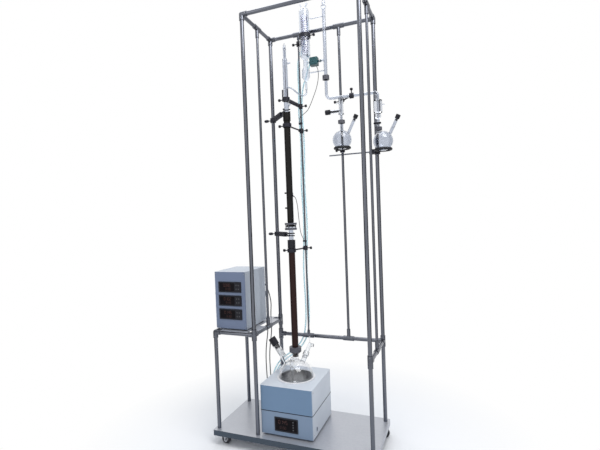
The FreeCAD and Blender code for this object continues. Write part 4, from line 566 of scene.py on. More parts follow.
# The column stands at COLUMN_X in the plane y = 0, and the condenser, the reflux valve and the receivers
# stand in the plane y = GLASS_Y.
COLUMN_X, GLASS_Y, CONDENSER_X, VALVE_X = -0.0315, 0.110, 0.070, 0.130
UP, FORWARD, BACKWARD = (0, 0, 1), (0, -1, 0), (0, 1, 0)


# ---------------------------------------------------------------- cords



def metres(points):
    """Points in metres from points in millimetres."""
    return [tuple(part / 1000 for part in point) for point in points]


def moved(points, right=0, up=0):
    """Points moved to the right and up."""
    return [(x + right, y, z + up) for x, y, z in points]


# The runs of the cords in millimetres, each from the fitting that it leaves.
SOLENOID_CABLE = [
    (130, 132, 2447.5), (130, 162, 2447.5), (136, 176, 2418), (131, 179, 2362), (117, 174, 2305),
    (96, 166, 2249), (74, 168, 2203), (48, 178, 2169), (14, 184, 2150), (-14, 184, 2136),
    (-24, 201.5, 2116), (-24, 201.5, 2090)]
COLUMN_LEAD = [
    (-9.2, 0, 1590), (3.8, 6, 1584), (5.8, 24, 1556), (4, 45, 1510), (0, 62, 1458), (-4, 84, 1409),
    (-12, 112, 1370), (-20, 146, 1342), (-26, 178, 1322), (-24, 201.5, 1301), (-24, 201.5, 1280)]
CONTROLLER_CABLE_A = [
    (-343, 104.5, 1001), (-343, 133.5, 1001), (-339, 165.5, 975), (-335, 190, 945), (-337, 214, 893),
    (-333, 225, 838), (-339, 228, 782), (-342, 229, 724), (-338, 228, 668), (-341, 226, 611),
    (-348, 220, 555), (-351, 210, 498), (-349, 199, 440), (-344, 190, 383), (-337, 180, 328),
    (-329, 168, 276), (-278, 128, 232), (-258, 115, 205), (-236, 110, 195), (-205.5, 110, 195)]
CONTROLLER_CABLE_B = [
    *moved(CONTROLLER_CABLE_A[:3], 30), (-305, 190, 931), *moved(CONTROLLER_CABLE_A[4:15], 30),
    (-299, 174, 276), (-260, 163, 232), (-250, 150, 205), (-236, 145, 195), (-205.5, 145, 195)]
WATER_HOSE_A = [
    (70, 168.3, 2772), (70, 192.3, 2772), (65, 214.3, 2752), (52, 226, 2710), (24, 231, 2654),
    (-27, 231, 2560), (-33, 230, 2450), (-30, 232, 2330), (-37, 230, 2205), (-33, 232, 2080),
    (-28, 230, 1955), (-32, 232, 1830), (-37, 230, 1700), (-34, 232, 1572), (-28, 230, 1445),
    (-31, 232, 1318), (-39, 231, 1190), (-43, 230, 1062), (-39, 232, 935), (-35, 230, 808),
    (-41, 231, 690), (-63, 230, 590), (-128, 226, 512), (-200, 228, 462), (-262, 224, 408),
    (-296, 208, 336), (-304, 184, 262), (-300, 150, 196), (-290, 104, 144), (-280, 50, 116),
    (-268, -4, 105.4), (-262, -50, 105.2)]
WATER_HOSE_B = [
    *moved(WATER_HOSE_A[:5], up=-245), *moved(WATER_HOSE_A[7:22], 24),
    (-108, 226, 502), (-186, 228, 448), (-248, 224, 394), (-280, 208, 336), (-288, 184, 262),
    (-284, 150, 196), (-272, 96, 144), (-262, 40, 116), (-252, -14, 105.4), (-246, -60, 105.2)]


def cord(node, route, radius, look):
    """A smooth cord of round section that the route's points draw, in place of its CAD node. Its ends
    are the separate pieces on it."""
    points = metres(route)
    curve = bpy.data.curves.new(node + "_run", "CURVE")
    curve.dimensions = "3D"
    curve.bevel_depth = radius
    curve.bevel_resolution = 3
    curve.resolution_u = 6
    curve.use_fill_caps = True
    spline = curve.splines.new("NURBS")
    spline.points.add(len(points) - 1)
    spline.points.foreach_set("co", np.column_stack([points, np.ones(len(points))]).ravel())
    spline.order_u = 3
    spline.use_endpoint_u = True
    curve.materials.append(look)
    run = bpy.data.objects.new(node + "_run", curve)
    bpy.context.scene.collection.objects.link(run)
    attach(run, "unit")
    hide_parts(node)


def cable_boot(name, centre, axis, radius, length, look):
    """A tapered, ribbed boot round a cable where it leaves a gland: the outside falls from the gland's
    size to the cable's as a line with a sine of ribs on it."""
    step = np.linspace(0, 1, 25)
    ribs = 0.00035 * np.sin(step * 5 * 2 * np.pi) * (step < 0.85)
    outside = list(zip(radius + 0.0004 + (1 - step) * 0.9 * radius + ribs, step * length))
    bore = [(radius + 0.00012, 0), (radius + 0.00012, length)]
    return piece(name, [sleeve(outside, bore, centre, axis, 20)], look, slot="stopper")


class DISTILLATION_OT_cords(bpy.types.Operator):
    """Makes the two leads, the controller's two cables and the two water hoses, with their end pieces"""

    bl_idname = "distillation.cords"
    bl_label = "Cords"

    def execute(self, context):
        sizes, coats = context.scene.distillation_cords, context.scene.distillation_coats
        sheath = finish("cable_sheath", coats.rubber, 0.5, grain=600, worn=1.8, bump=0.1, dust=0.08)
        black = black_plastic()
        boot = cable_boot("solenoid_cable_boot", (VALVE_X, 0.140, 2.4475), BACKWARD, sizes.lead, 0.022, black)
        cord("solenoid_cable", SOLENOID_CABLE, sizes.lead, sheath)
        cord("column_lead", COLUMN_LEAD, sizes.lead, sheath)
        for node, route, length in (("controller_cable_a", CONTROLLER_CABLE_A, 0.956),
                                    ("controller_cable_b", CONTROLLER_CABLE_B, 0.924)):
            first, last = metres([route[0], route[-1]])
            ends = [cable_boot(node + "_boot", (first[0], 0.1135, first[2]), BACKWARD, sizes.cable, 0.021,
                               black),
                    cable_boot(node + "_end_boot", (-0.2145, last[1], last[2]), (-1, 0, 0), sizes.cable,
                               0.022, black)]
            cord(node, route, sizes.cable, sheath)
        self.hoses(context)
        return {"FINISHED"}

    def hoses(self, context):
        """The water hoses, each with a pushed-on end and a worm clip on its nipple."""
        radius, blue = context.scene.distillation_cords.hose, context.scene.distillation_glass.hose
        wall = finish("translucent_hose", blue, 0.28, grain=120, worn=1.25, smudge=9.0,
                      sockets={"Transmission Weight": 0.65, "IOR": 1.43})
        for node, route, length in (("water_hose_a", WATER_HOSE_A, 2.972),
                                    ("water_hose_b", WATER_HOSE_B, 2.735)):
            x, y, z = metres(route)[0]
            outside = [(0.0068, 0), (0.0071, 0.001), (0.0070, 0.017), (0.0060, 0.024), (0.0055, 0.027)]
            end = piece(node + "_cuff", [sleeve(outside, [(0.00525, 0), (0.00512, 0.027)],
                                                (x, y - 0.0185, z), BACKWARD)], wall, slot="hose")
            band = [(0.0084, 0.0), (0.0086, 0.0006), (0.0086, 0.0064), (0.0084, 0.007)]
            clip = piece(node + "_clip", [
                sleeve(band, [(0.0073, 0), (0.0073, 0.007)], (x, y - 0.0125, z), BACKWARD, 28),
                hexagon_nut((x - 0.006, y - 0.009, z + 0.0108), (1, 0, 0), 0.0026, 0.011)],
                plated_steel(), slot="caster_metal")
            cord(node, route, radius, wall)


# ---------------------------------------------------------------- frame, tray and casters

CORNERS = ("front_left", "front_right", "rear_left", "rear_right")
LEFT, RIGHT, TABLE = -0.2215, 0.5035, -0.5025
FRONT, REAR = -0.2015, 0.2015
TOP, LOW, SHELF = 2.700, 0.628, 0.728
ROD_X, SLIM_X = -0.010, 0.2755
# The outside radii of the fittings' sleeves, and how far from a fitting's middle its set screws sit.
SLEEVE, SLIM_SLEEVE, ROD_SLEEVE = 0.016, 0.012, 0.0095
ARM, LONG_ARM = 0.027, 0.029


def set_screw_places():
    """Where the fittings' set screws sit: on each arm of a fitting, on its outer side."""
    places = []
    for y, back in ((FRONT, -1), (REAR, 1)):
        out, outside = (0, back, 0), y + back * SLEEVE
        for x, side in ((LEFT, -1), (RIGHT, 1)):
            places += [((x, outside, TOP - ARM), out), ((x - side * ARM, outside, TOP), out),
                       ((x + side * SLEEVE, y - back * ARM, TOP), (side, 0, 0))]
        places += [((TABLE, outside, SHELF - ARM), out), ((TABLE + ARM, outside, SHELF), out),
                   ((TABLE - SLEEVE, y - back * ARM, SHELF), (-1, 0, 0)),
                   ((LEFT - LONG_ARM, outside, SHELF), out), ((LEFT, outside, SHELF + ARM), out),
                   ((RIGHT + SLEEVE, y - back * LONG_ARM, LOW), (1, 0, 0)),
                   ((RIGHT, outside, LOW + ARM), out)]
    places += [((x + side * SLIM_SLEEVE, 0, TOP - 0.048), (side, 0, 0))
               for x, side in ((LEFT, -1), (RIGHT, 1))]
    places += [((x, REAR + reach, z), BACKWARD) for x, reach in ((SLIM_X, SLIM_SLEEVE), (ROD_X, ROD_SLEEVE))
               for z in (TOP - 0.030, LOW + 0.030)]
    return places + [((x, REAR + SLEEVE, LOW), BACKWARD) for x in (LEFT + LONG_ARM, RIGHT - LONG_ARM)]


class DISTILLATION_OT_frame(bpy.types.Operator):
    """Finishes the tube frame, its cast fittings, the tray and the shelf, and adds the set screws"""

    bl_idname = "distillation.frame"
    bl_label = "Frame"

    def execute(self, context):
        metals = context.scene.distillation_metals
        metal = {"Metallic": 1.0}
        drawn = dict(worn=0.72, smudge=3.0, bump=0.04, sockets=metal)
        # The tube's dark colour, also used by the cast fittings at 0.92 of it, is partly a painted reflection
        # of dark surroundings.
        dress(finish("drawn_tube", metals.tube, metals.tube_dullness, grain=(900, 900, 6), grain_share=0.6,
                     **drawn),
              "mid_posts", "support_rods", "side_table_tubes", *("post_" + corner for corner in CORNERS))
        dress(finish("drawn_tube_level", metals.tube, metals.tube_dullness, grain=(14, 14, 700), **drawn),
              "cross_rails")
        dress(finish("cast_fitting", tuple(0.92 * part for part in metals.tube), 0.3, grain=260,
                     worn=0.7, smudge=12.0, bump=0.1, sockets=metal), "frame_fittings")
        brushed = dict(grain=(9, 900, 900), grain_share=0.55, worn=0.86, smudge=2.5, bump=0.06, dust=0.15,
                       sockets={"Metallic": 0.55})
        # The tray's front-facing lip takes a painted shade, far darker than the sheet of its deck.
        dress(finish("brushed_tray_shaded_lip", metals.sheet, metals.sheet_dullness, shaded_front=metals.lip, **brushed),
              "base_tray")
        dress(finish("brushed_shelf", metals.sheet, metals.sheet_dullness, **brushed), "shelf_plate")
        piece("fitting_set_screws", [socket_screw(place, axis) for place, axis in set_screw_places()],
              plated_steel(), slot="fitting")
        return {"FINISHED"}


class DISTILLATION_OT_casters(bpy.types.Operator):
    """Finishes the casters and adds their hub caps, axle nuts and plate bolts"""

    bl_idname = "distillation.casters"
    bl_label = "Casters"

    def execute(self, context):
        steel = plated_steel()
        coats = context.scene.distillation_coats
        tread = finish("caster_wheel_rubber", coats.black, 0.5, grain=500, worn=2.2, smudge=30.0,
                       bump=0.15, dust=0.12)
        dress(steel, "caster_plates")
        for corner in CORNERS:
            low, high = corners("caster_wheel_" + corner)
            middle = (low + high) / 2
            dress(tread, "caster_wheel_" + corner)
            dress(steel, "caster_fork_" + corner)
            caps = [sleeve([(0.0150, -0.0006), (0.0148, 0.0006), (0.0138, 0.0012), (0.0100, 0.0014)],
                           [(0.0150, -0.0008), (0.0060, -0.0008), (0.0060, 0.0008)],
                           (middle[0], middle[1] + side * 0.0088, middle[2]), (0, side, 0), 32)
                    for side in (-1, 1)]
            piece("caster_hub_caps_" + corner, caps, steel, "wheel_" + corner, slot="caster_metal")
            low, high = corners("caster_fork_" + corner)
            nuts = [hexagon_nut((middle[0], y, middle[2]), (0, side, 0), 0.0052, 0.0028)
                    for y, side in ((low[1] + 0.0002, -1), (high[1] - 0.0002, 1))]
            piece("caster_axle_nuts_" + corner, nuts, steel, "fork_" + corner, slot="caster_metal")
            x, y = middle[0] - 0.020, middle[1]
            bolts = [hexagon_nut((x + east * 0.0225, y + north * 0.0225, 0.0951), (0, 0, -1), 0.0036, 0.0026)
                     for east in (-1, 1) for north in (-1, 1)]
            piece("caster_bolts_" + corner, bolts, steel, slot="caster_metal")
        return {"FINISHED"}


# ---------------------------------------------------------------- mantle and control box


def round_key(centre, axis, radius, rise):
    """A domed push key."""
    return turned([(radius, -0.0003), (radius, rise * 0.7), (radius * 0.9, rise), (radius * 0.5, rise * 1.1)],
                  centre, axis, 20)


def window(centre, axis, width, height, corner=0.002, rise=0.0006):
    """A flat window with a rounded edge."""
    levels = [(0, -0.0004), (0, rise * 0.6), (0.0004, rise), (0.004, rise)]
    return plaque(width, height, corner, levels, centre, axis)


def bezel(centre, axis, width, height, reach, rise):
    """A raised rim round a window, as one closed loop."""
    loop = [(0.0002, -0.0003), (0.0002, rise * 0.6), (0.0008, rise), (reach - 0.001, rise),
            (reach, rise * 0.3), (reach, -0.0003)]
    return plaque(width, height, 0.003, loop, centre, axis, closed=True)


def lit_figures(name, colour, strength=0.15):
    """Figures that glow a little."""
    return finish(name, colour, 0.4, grain=300, worn=0.8,
                  sockets={"Emission Color": four(colour), "Emission Strength": strength})


def smoked_window(context):
    """The smoked plastic of the display windows."""
    return finish("smoked_window", context.scene.distillation_coats.window, 0.14, grain=40, worn=2.0,
                  smudge=18.0, bump=0.01, sockets={"Specular IOR Level": 0.04})


class DISTILLATION_OT_mantle(bpy.types.Operator):
    """Finishes the heating mantle and adds its display face, switch marks and case screws"""

    bl_idname = "distillation.mantle"
    bl_label = "Heating mantle"

    def execute(self, context):
        coats = context.scene.distillation_coats
        # The front faces of the hood and the base get a painted shade, darker than the pale coat of their top
        # and sides.
        for node, front in (("mantle_hood", coats.hood_front_shade), ("mantle_base", coats.base_front_shade)):
            dress(finish(node + "_coat", coats.mantle_shell, 0.42, grain=700, grain_share=0.35,
                         worn=0.93, smudge=4.0, bump=0.10, dust=0.05, shaded_front=front,
                         sockets={"Specular IOR Level": 0.4}), node)
        dress(cloth("heated_well_cloth", coats.weave, (COLUMN_X, 0, 0.412)), "mantle_well")
        dress(black_plastic(), "mantle_display", "mantle_switch")
        # A dark rubber band in the slot between the hood and the base: a painted shadow line where the slot's
        # shade falls.
        band = [(0.0012, -0.0021), (-0.0009, -0.0021), (-0.0009, 0.0021), (0.0012, 0.0021)]
        piece("mantle_slot_shadow_band", [plaque(0.346, 0.375, 0.010, band, (COLUMN_X, 0, 0.2565), UP, 48, True)],
              finish("slot_shadow_rubber", coats.rubber, 0.6, worn=1.5, sockets={"Specular IOR Level": 0.2}),
              slot="feet")
        low, high = corners("mantle_display")
        front = np.array([(low[0] + high[0]) / 2, low[1], (low[2] + high[2]) / 2])
        piece("mantle_window", [window(front, FORWARD, 0.140, 0.072)], smoked_window(context),
              slot="display")
        piece("mantle_window_rim", [bezel(front, FORWARD, 0.156, 0.088, 0.008, 0.0016)], black_plastic(),
              slot="display")
        glass_face = front + (0, -0.0006, 0)
        piece("mantle_figures",
              seven_bar_figures("0145", glass_face + (-0.022, 0, 0.016), FORWARD, 0.022)
              + seven_bar_figures("0150", glass_face + (-0.022, 0, -0.018), FORWARD, 0.015),
              lit_figures("mantle_figures_lit", coats.figures, 0.25), slot="display")
        keys = [round_key(glass_face + (0.046, 0, rise), FORWARD, 0.0045, 0.0012)
                for rise in (0.024, 0.008, -0.008, -0.024)]
        piece("mantle_keys", keys, display_keys(), slot="display")
        mark = finish("switch_mark", (0.55, 0.55, 0.55), 0.5)
        piece("switch_marks", [
            plaque(0.0008, 0.0040, 0.0003, [(0, -0.0002), (0, 0.0001), (0.0002, 0.00015)],
                   (0.1423, -0.114, 0.1562), (1, 0, -0.18)),
            sleeve([(0.0021, -0.0002), (0.0021, 0.00015)], [(0.0015, -0.0002), (0.0015, 0.00015)],
                   (0.1423, -0.114, 0.1438), (1, 0, 0.18))], mark, "power_switch", slot="switch")
        piece("mantle_screws", [pan_screw((x, y, z), (side, 0, 0)) for x, side in ((-0.2044, -1), (0.1414, 1))
                                for y in (-0.165, 0.165) for z in (0.134, 0.288, 0.392)],
              plated_steel(), slot="mantle_hood")
        return {"FINISHED"}


METER_PITCH = 0.0875


class DISTILLATION_OT_control_box(bpy.types.Operator):
    """Finishes the control box and adds the faces of its three meters, its screws and its rear vents"""

    bl_idname = "distillation.control_box"
    bl_label = "Control box"

    def execute(self, context):
        coats = context.scene.distillation_coats
        wear = dict(grain=700, grain_share=0.35, worn=0.93, smudge=4.0, bump=0.10, dust=0.05)
        # The case's front faces and the whole front panel take a painted shade, darker than the pale coat of
        # the top and sides.
        dress(finish("case_coat_shaded_front", coats.case_shell, 0.42, shaded_front=coats.case_front_shade, **wear), "control_case")
        dress(finish("panel_shaded_coat", coats.case_front_shade, 0.4, **wear), "control_panel")
        dress(black_plastic(), "control_meters")
        dress(finish("rubber_foot", coats.rubber, 0.6, grain=500, worn=1.6, bump=0.15, dust=0.1),
              "rubber_feet")
        low, high = corners("control_meters")
        middle, out = (low[0] + high[0]) / 2, FORWARD
        windows, rims, figures, keys = [], [], [], []
        for index, (upper, lower) in enumerate((("0086", "0120"), ("0102", "0110"), ("0145", "0160"))):
            centre = np.array([middle, low[1], low[2] + 0.034 + METER_PITCH * (2 - index)])
            windows.append(window(centre + (-0.020, 0, 0), out, 0.106, 0.052))
            rims.append(bezel(centre, out, 0.166, 0.068, 0.005, 0.0014))
            face = centre + (-0.020, -0.0006, 0)
            figures += seven_bar_figures(upper, face + (0, 0, 0.011), out, 0.019)
            figures += seven_bar_figures(lower, face + (0.008, 0, -0.014), out, 0.013)
            keys += [round_key(centre + (x, 0, z), out, 0.0042, 0.0013)
                     for x in (0.048, 0.064) for z in (-0.012, 0.012)]
        piece("meter_windows", windows, smoked_window(context), slot="meters")
        piece("meter_rims", rims, black_plastic(), slot="meters")
        piece("meter_figures", figures, lit_figures("meter_figures_lit", coats.figures), slot="meters")
        piece("meter_keys", keys, display_keys(), slot="meters")
        self.fixings()
        return {"FINISHED"}

    def fixings(self):
        """The case's screws and the vents in its back."""
        low, high = corners("control_case")
        back = high[1] - 0.010
        places = [((x, -0.1827, z), FORWARD) for x in (low[0] + 0.008, high[0] - 0.008)
                  for z in (low[2] + 0.012, high[2] - 0.012)]
        places += [((x, y, z), (side, 0, 0)) for x, side in ((low[0], -1), (high[0], 1))
                   for y in (low[1] + 0.025, back - 0.025) for z in (low[2] + 0.020, high[2] - 0.020)]
        places += [((x, back, z), BACKWARD) for x in (low[0] + 0.010, high[0] - 0.010)
                   for z in (low[2] + 0.012, high[2] - 0.012)]
        piece("case_screws", [pan_screw(place, axis, 0.003, 0.0013) for place, axis in places],
              plated_steel(), slot="control_case")
        vents = [plaque(0.090, 0.004, 0.002, [(0, -0.0004), (0.0003, 0.0012), (0.0012, 0.0018)],
                        ((low[0] + high[0]) / 2 - 0.030, back, low[2] + 0.060 + 0.010 * index), BACKWARD)
                 for index in range(10)]
        piece("case_vents", vents, bpy.data.materials["case_coat_shaded_front"], slot="control_case")


# ---------------------------------------------------------------- columns and glassware


class DISTILLATION_OT_columns(bpy.types.Operator):
    """Finishes the two column sections, and adds the cover of the lower sensor"""

    bl_idname = "distillation.columns"
    bl_label = "Columns"

    def execute(self, context):
        colours = context.scene.distillation_glass
        look = dict(grain=(60, 60, 5), grain_share=0.55, worn=1.5, smudge=9.0, bump=0.08,
                    sockets={"Specular IOR Level": 0.12})
        dress(finish("lower_jacket", colours.lower_column, 0.28, **look), "lower_column")
        dress(finish("upper_jacket", colours.upper_column, 0.28, **look), "upper_column")
        ribs = [(0.0249 + 0.0008 * (index % 3 == 1), 0.0018 * index) for index in range(30)]
        bore = [(0.0243, 0), (0.0243, 0.0522)]
        piece("jacket_end_sleeve", [sleeve(ribs, bore, (COLUMN_X, 0, 1.2530), UP, 48)],
              black_plastic(), slot="stopper")
        pad = [(0, -0.001), (0, 0.0012), (0.001, 0.0020), (0.003, 0.0022)]
        nose = sleeve([(0.0036, 0), (0.0032, 0.006), (0.0026, 0.010)], [(0.0021, 0), (0.0021, 0.010)],
                      (-0.0088, 0.0002, 1.5898), (13, 6, -6))
        piece("sensor_cover", [plaque(0.010, 0.026, 0.003, pad, (-0.0106, 0, 1.598), (1, 0, 0)), nose],
              black_plastic(), slot="stopper")
        return {"FINISHED"}


GROUND_BANDS = {
    "flask": [(0.544, 0.583)], "neck_adapter": [], "thermowell": [], "column_joint": [(1.266, 1.3055)],
    "column_head": [(2.0849, 2.1225), (2.510, 2.5386)], "condenser": [],
    "riser_tube": [(2.3451, 2.3532)], "delivery_tube": [(2.3368, 2.3449)],
    "takeoff_left": [(2.0503, 2.0575)], "takeoff_right": [(1.9803, 1.9875)],
    "receiver_left": [(2.0430, 2.0500)], "receiver_right": [(1.9730, 1.9800)],
}


class DISTILLATION_OT_glassware(bpy.types.Operator):
    """Finishes the glass and its plastic caps and keys, and fills the thermometer"""

    bl_idname = "distillation.glassware"
    bl_label = "Glassware"

    def execute(self, context):
        colours, coats = context.scene.distillation_glass, context.scene.distillation_coats
        tints = {"flask": colours.flask, "neck_adapter": colours.flask, "thermowell": colours.flask,
                 "condenser": colours.jacket}
        for node, bands in GROUND_BANDS.items():
            dress(glass("glass_" + node, tints.get(node, colours.clear), bands), node)
        dress(glass("glass_thermometer", colours.clear), "thermometer")
        dress(black_plastic(), "neck_caps", "valve_key_left", "valve_key_right")
        dress(finish("valve_housing", coats.valve, 0.38, grain=300, worn=1.5, bump=0.08),
              "solenoid_valve")
        low, high = corners("thermometer")
        foot = ((low[0] + high[0]) / 2, 0, low[2] + 0.004)
        thread = [(0.0004, 0), (0.0019, 0.002), (0.0019, 0.011), (0.0007, 0.014), (0.0007, 0.215),
                  (0.0003, 0.2155)]
        piece("thermometer_thread", [turned(thread, foot, UP, 16)],
              finish("thermometer_dye", (0.30, 0.02, 0.02), 0.3, worn=0.8), slot="glass")
        marks = [sleeve([(0.00312, 0), (0.00312, 0.0004)], [(0.0030, 0), (0.0030, 0.0004)],
                        (foot[0], 0, low[2] + 0.060 + 0.006 * index), UP, 16) for index in range(40)]
        piece("thermometer_scale", marks, finish("scale_ink", (0.03, 0.03, 0.035), 0.6), slot="glass")
        self.valve_fixings()
        return {"FINISHED"}

    def valve_fixings(self):
        """The reflux valve's end collars, coil screw and cover plate."""
        low, high = corners("solenoid_valve")
        middle = (low + high) / 2
        collar = [(0.0098, 0), (0.0102, 0.0012), (0.0102, 0.0068), (0.0098, 0.008)]
        bore = [(0.0072, 0), (0.0072, 0.008)]
        piece("valve_collars", [sleeve(collar, bore, (x, GLASS_Y, middle[2]), (1, 0, 0), 28)
                                for x in (0.1016, 0.1664)], plated_steel(), slot="caster_metal")
        plate = [(0, -0.0004), (0, 0.0010), (0.0008, 0.0016)]
        piece("valve_cover", [plaque(0.044, 0.040, 0.004, plate, (VALVE_X, low[1], middle[2]), FORWARD),
                              pan_screw((VALVE_X, low[1] - 0.0014, middle[2]), FORWARD, 0.005, 0.002)],
              bpy.data.materials["valve_housing"], slot="valve_body")


LOWER_NIPPLE, UPPER_NIPPLE, JACKET_WALL = 2.527, 2.772, 0.0302


class DISTILLATION_OT_coil(bpy.types.Operator):
    """Winds the condenser's cooling coil, from its lower nipple to its upper one, in its packed finish"""

    bl_idname = "distillation.coil"
    bl_label = "Cooling coil"

    def execute(self, context):
        colours = context.scene.distillation_glass
        packed = bpy.data.materials["coil_glass"]
        coil = piece("cooling_coil", [swept(self.path(colours), colours.coil_tube, 14)], packed,
                     slot="coil_glass")
        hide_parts("condenser_coil")
        return {"FINISHED"}

    def path(self, colours):
        """A helix: at the share s of its run the angle is a quarter turn + 2π turns s, and the height
        rises evenly. Near each end the radius grows as a cosine to the jacket's wall, and the height
        stays at its nipple's."""
        step = np.linspace(0, 1, 40 * colours.coil_turns + 1)
        angle = np.pi / 2 + 2 * np.pi * colours.coil_turns * step
        end = np.minimum(step, 1 - step) * colours.coil_turns
        flare = np.where(end < 0.25, 0.5 + 0.5 * np.cos(np.pi * end / 0.25), 0)
        radius = colours.coil_radius + (JACKET_WALL - colours.coil_radius) * flare
        height = LOWER_NIPPLE + (UPPER_NIPPLE - LOWER_NIPPLE) * np.clip((step - 0.006) / 0.988, 0, 1)
        return np.stack([CONDENSER_X + radius * np.cos(angle), GLASS_Y + radius * np.sin(angle), height], -1)


class DISTILLATION_OT_supports(bpy.types.Operator):
    """Finishes the clamps, boss heads and rings, and adds the thumb knobs"""

    bl_idname = "distillation.supports"
    bl_label = "Supports"

    def execute(self, context):
        metals = context.scene.distillation_metals
        dark = finish("coated_casting", metals.coated, 0.4, grain=260, worn=2.0, smudge=14.0,
                      bump=0.14, dust=0.03, sockets={"Specular IOR Level": 0.25})
        dress(dark, "boss_heads", "column_clamps", "ring_supports")
        dress(finish("clip_casting", metals.clip, 0.4, grain=260, worn=1.5, smudge=14.0,
                     bump=0.14, sockets={"Specular IOR Level": 0.3}), "joint_clamps")
        knobs = [((0.0217, REAR, z), (1, 0, 0)) for z in (1.238, 2.043, 2.210)]
        knobs += [((-0.0417, REAR, 2.635), (-1, 0, 0)), ((0.2413, REAR, 2.2065), (-1, 0, 0)),
                  ((0.2413, REAR, 1.8856), (-1, 0, 0)), ((0.4653, REAR, 1.8526), (-1, 0, 0))]
        knobs += [((-0.0775, 0, 1.238), (-1, 0, 0)), ((-0.0775, 0, 2.043), (-1, 0, 0)),
                  ((-0.0730, 0, 2.210), (-1, 0, 0)), ((0.1270, GLASS_Y, 2.635), (1, 0, 0)),
                  ((0.371, GLASS_Y, 2.2415), UP)]
        piece("thumb_knobs", [fluted_knob(place, axis, 0.0093, 0.0128) for place, axis in knobs],
              black_plastic(), slot="stopper")
        self.cushions()
        self.post_clamps(dark)
        return {"FINISHED"}

    def cushions(self):
        """A rubber sleeve on each ring: its round section touches the flask's underside, and holds the
        ring's wire a little off its middle."""
        angle = np.linspace(0, 2 * np.pi, 20, endpoint=False)
        section = np.stack([0.0469 + 0.0084 * np.cos(angle), 0.0084 * np.sin(angle)], -1)
        piece("ring_cushions", [turned(section, (x, GLASS_Y, z - 0.0021), UP, 64, True)
                                for x, z in ((0.300, 1.8856), (0.560, 1.8526))],
              finish("cushion_rubber", bpy.context.scene.distillation_coats.rubber, 0.55,
                     grain=500, worn=1.6, bump=0.15, sockets={"Specular IOR Level": 0.2}),
              slot="ring")

    def post_clamps(self, dark):
        """The ribbed bodies of the clamps that reach from the rear post and from the rod to the column's
        glass, the two fingers of each round the glass, and the long grips of their screws."""
        for name, post_x, z, start, end, size, fingers in (
                ("lower_post_clamp", LEFT, 1.340, 0.022, 0.180, (0.027, 0.032), 0.0160),
                ("upper_post_clamp", LEFT, 2.140, 0.022, 0.180, (0.027, 0.032), 0.0165),
                ("head_clamp_body", ROD_X, 2.210, 0.032, 0.172, (0.018, 0.024), 0)):
            way = np.array([COLUMN_X - post_x, -REAR, 0])
            reach = np.linalg.norm(way)
            way /= reach
            ribs = [(0.003 * (index % 4 in (0, 3)) + 0.004 * (index == 0), start + (end - start) * index / 39)
                    for index in range(40)]
            surfaces = [plaque(*size, 0.006, ribs, (post_x, REAR, z), way)]
            if fingers:
                grip = [(0.0086, -0.0004), (0.0100, 0.004), (0.0102, 0.016), (0.0090, 0.024),
                        (0.0055, 0.0285), (0.0015, 0.0295)]
                surfaces += self.grip_fingers((COLUMN_X, 0, z), way, fingers, reach - end)
                surfaces.append(turned(grip, (-0.2597, REAR, z), (-1, 0, 0)))
            piece(name, surfaces, dark, slot="boss")

    def grip_fingers(self, centre, way, radius, gap):
        """Two fingers round an upright tube: each is a rod that leaves the clamp's body, runs round the
        tube as an arc of 200 degrees, and ends free, with one finger above the other."""
        turn = math.atan2(-way[1], -way[0])
        angle = turn + np.radians(np.linspace(-100, 100, 41))
        reach = radius + 0.0046
        arc = np.stack([reach * np.cos(angle), reach * np.sin(angle), 0 * angle], -1) + centre
        arm = np.linspace(-gap, -reach, 9)[:, None] * way + centre
        return [swept(run + (0, 0, rise), thick) for run, thick in ((arc, 0.0042), (arm, 0.0045))
                for rise in (-0.0075, 0.0075)]


# ---------------------------------------------------------------- studio


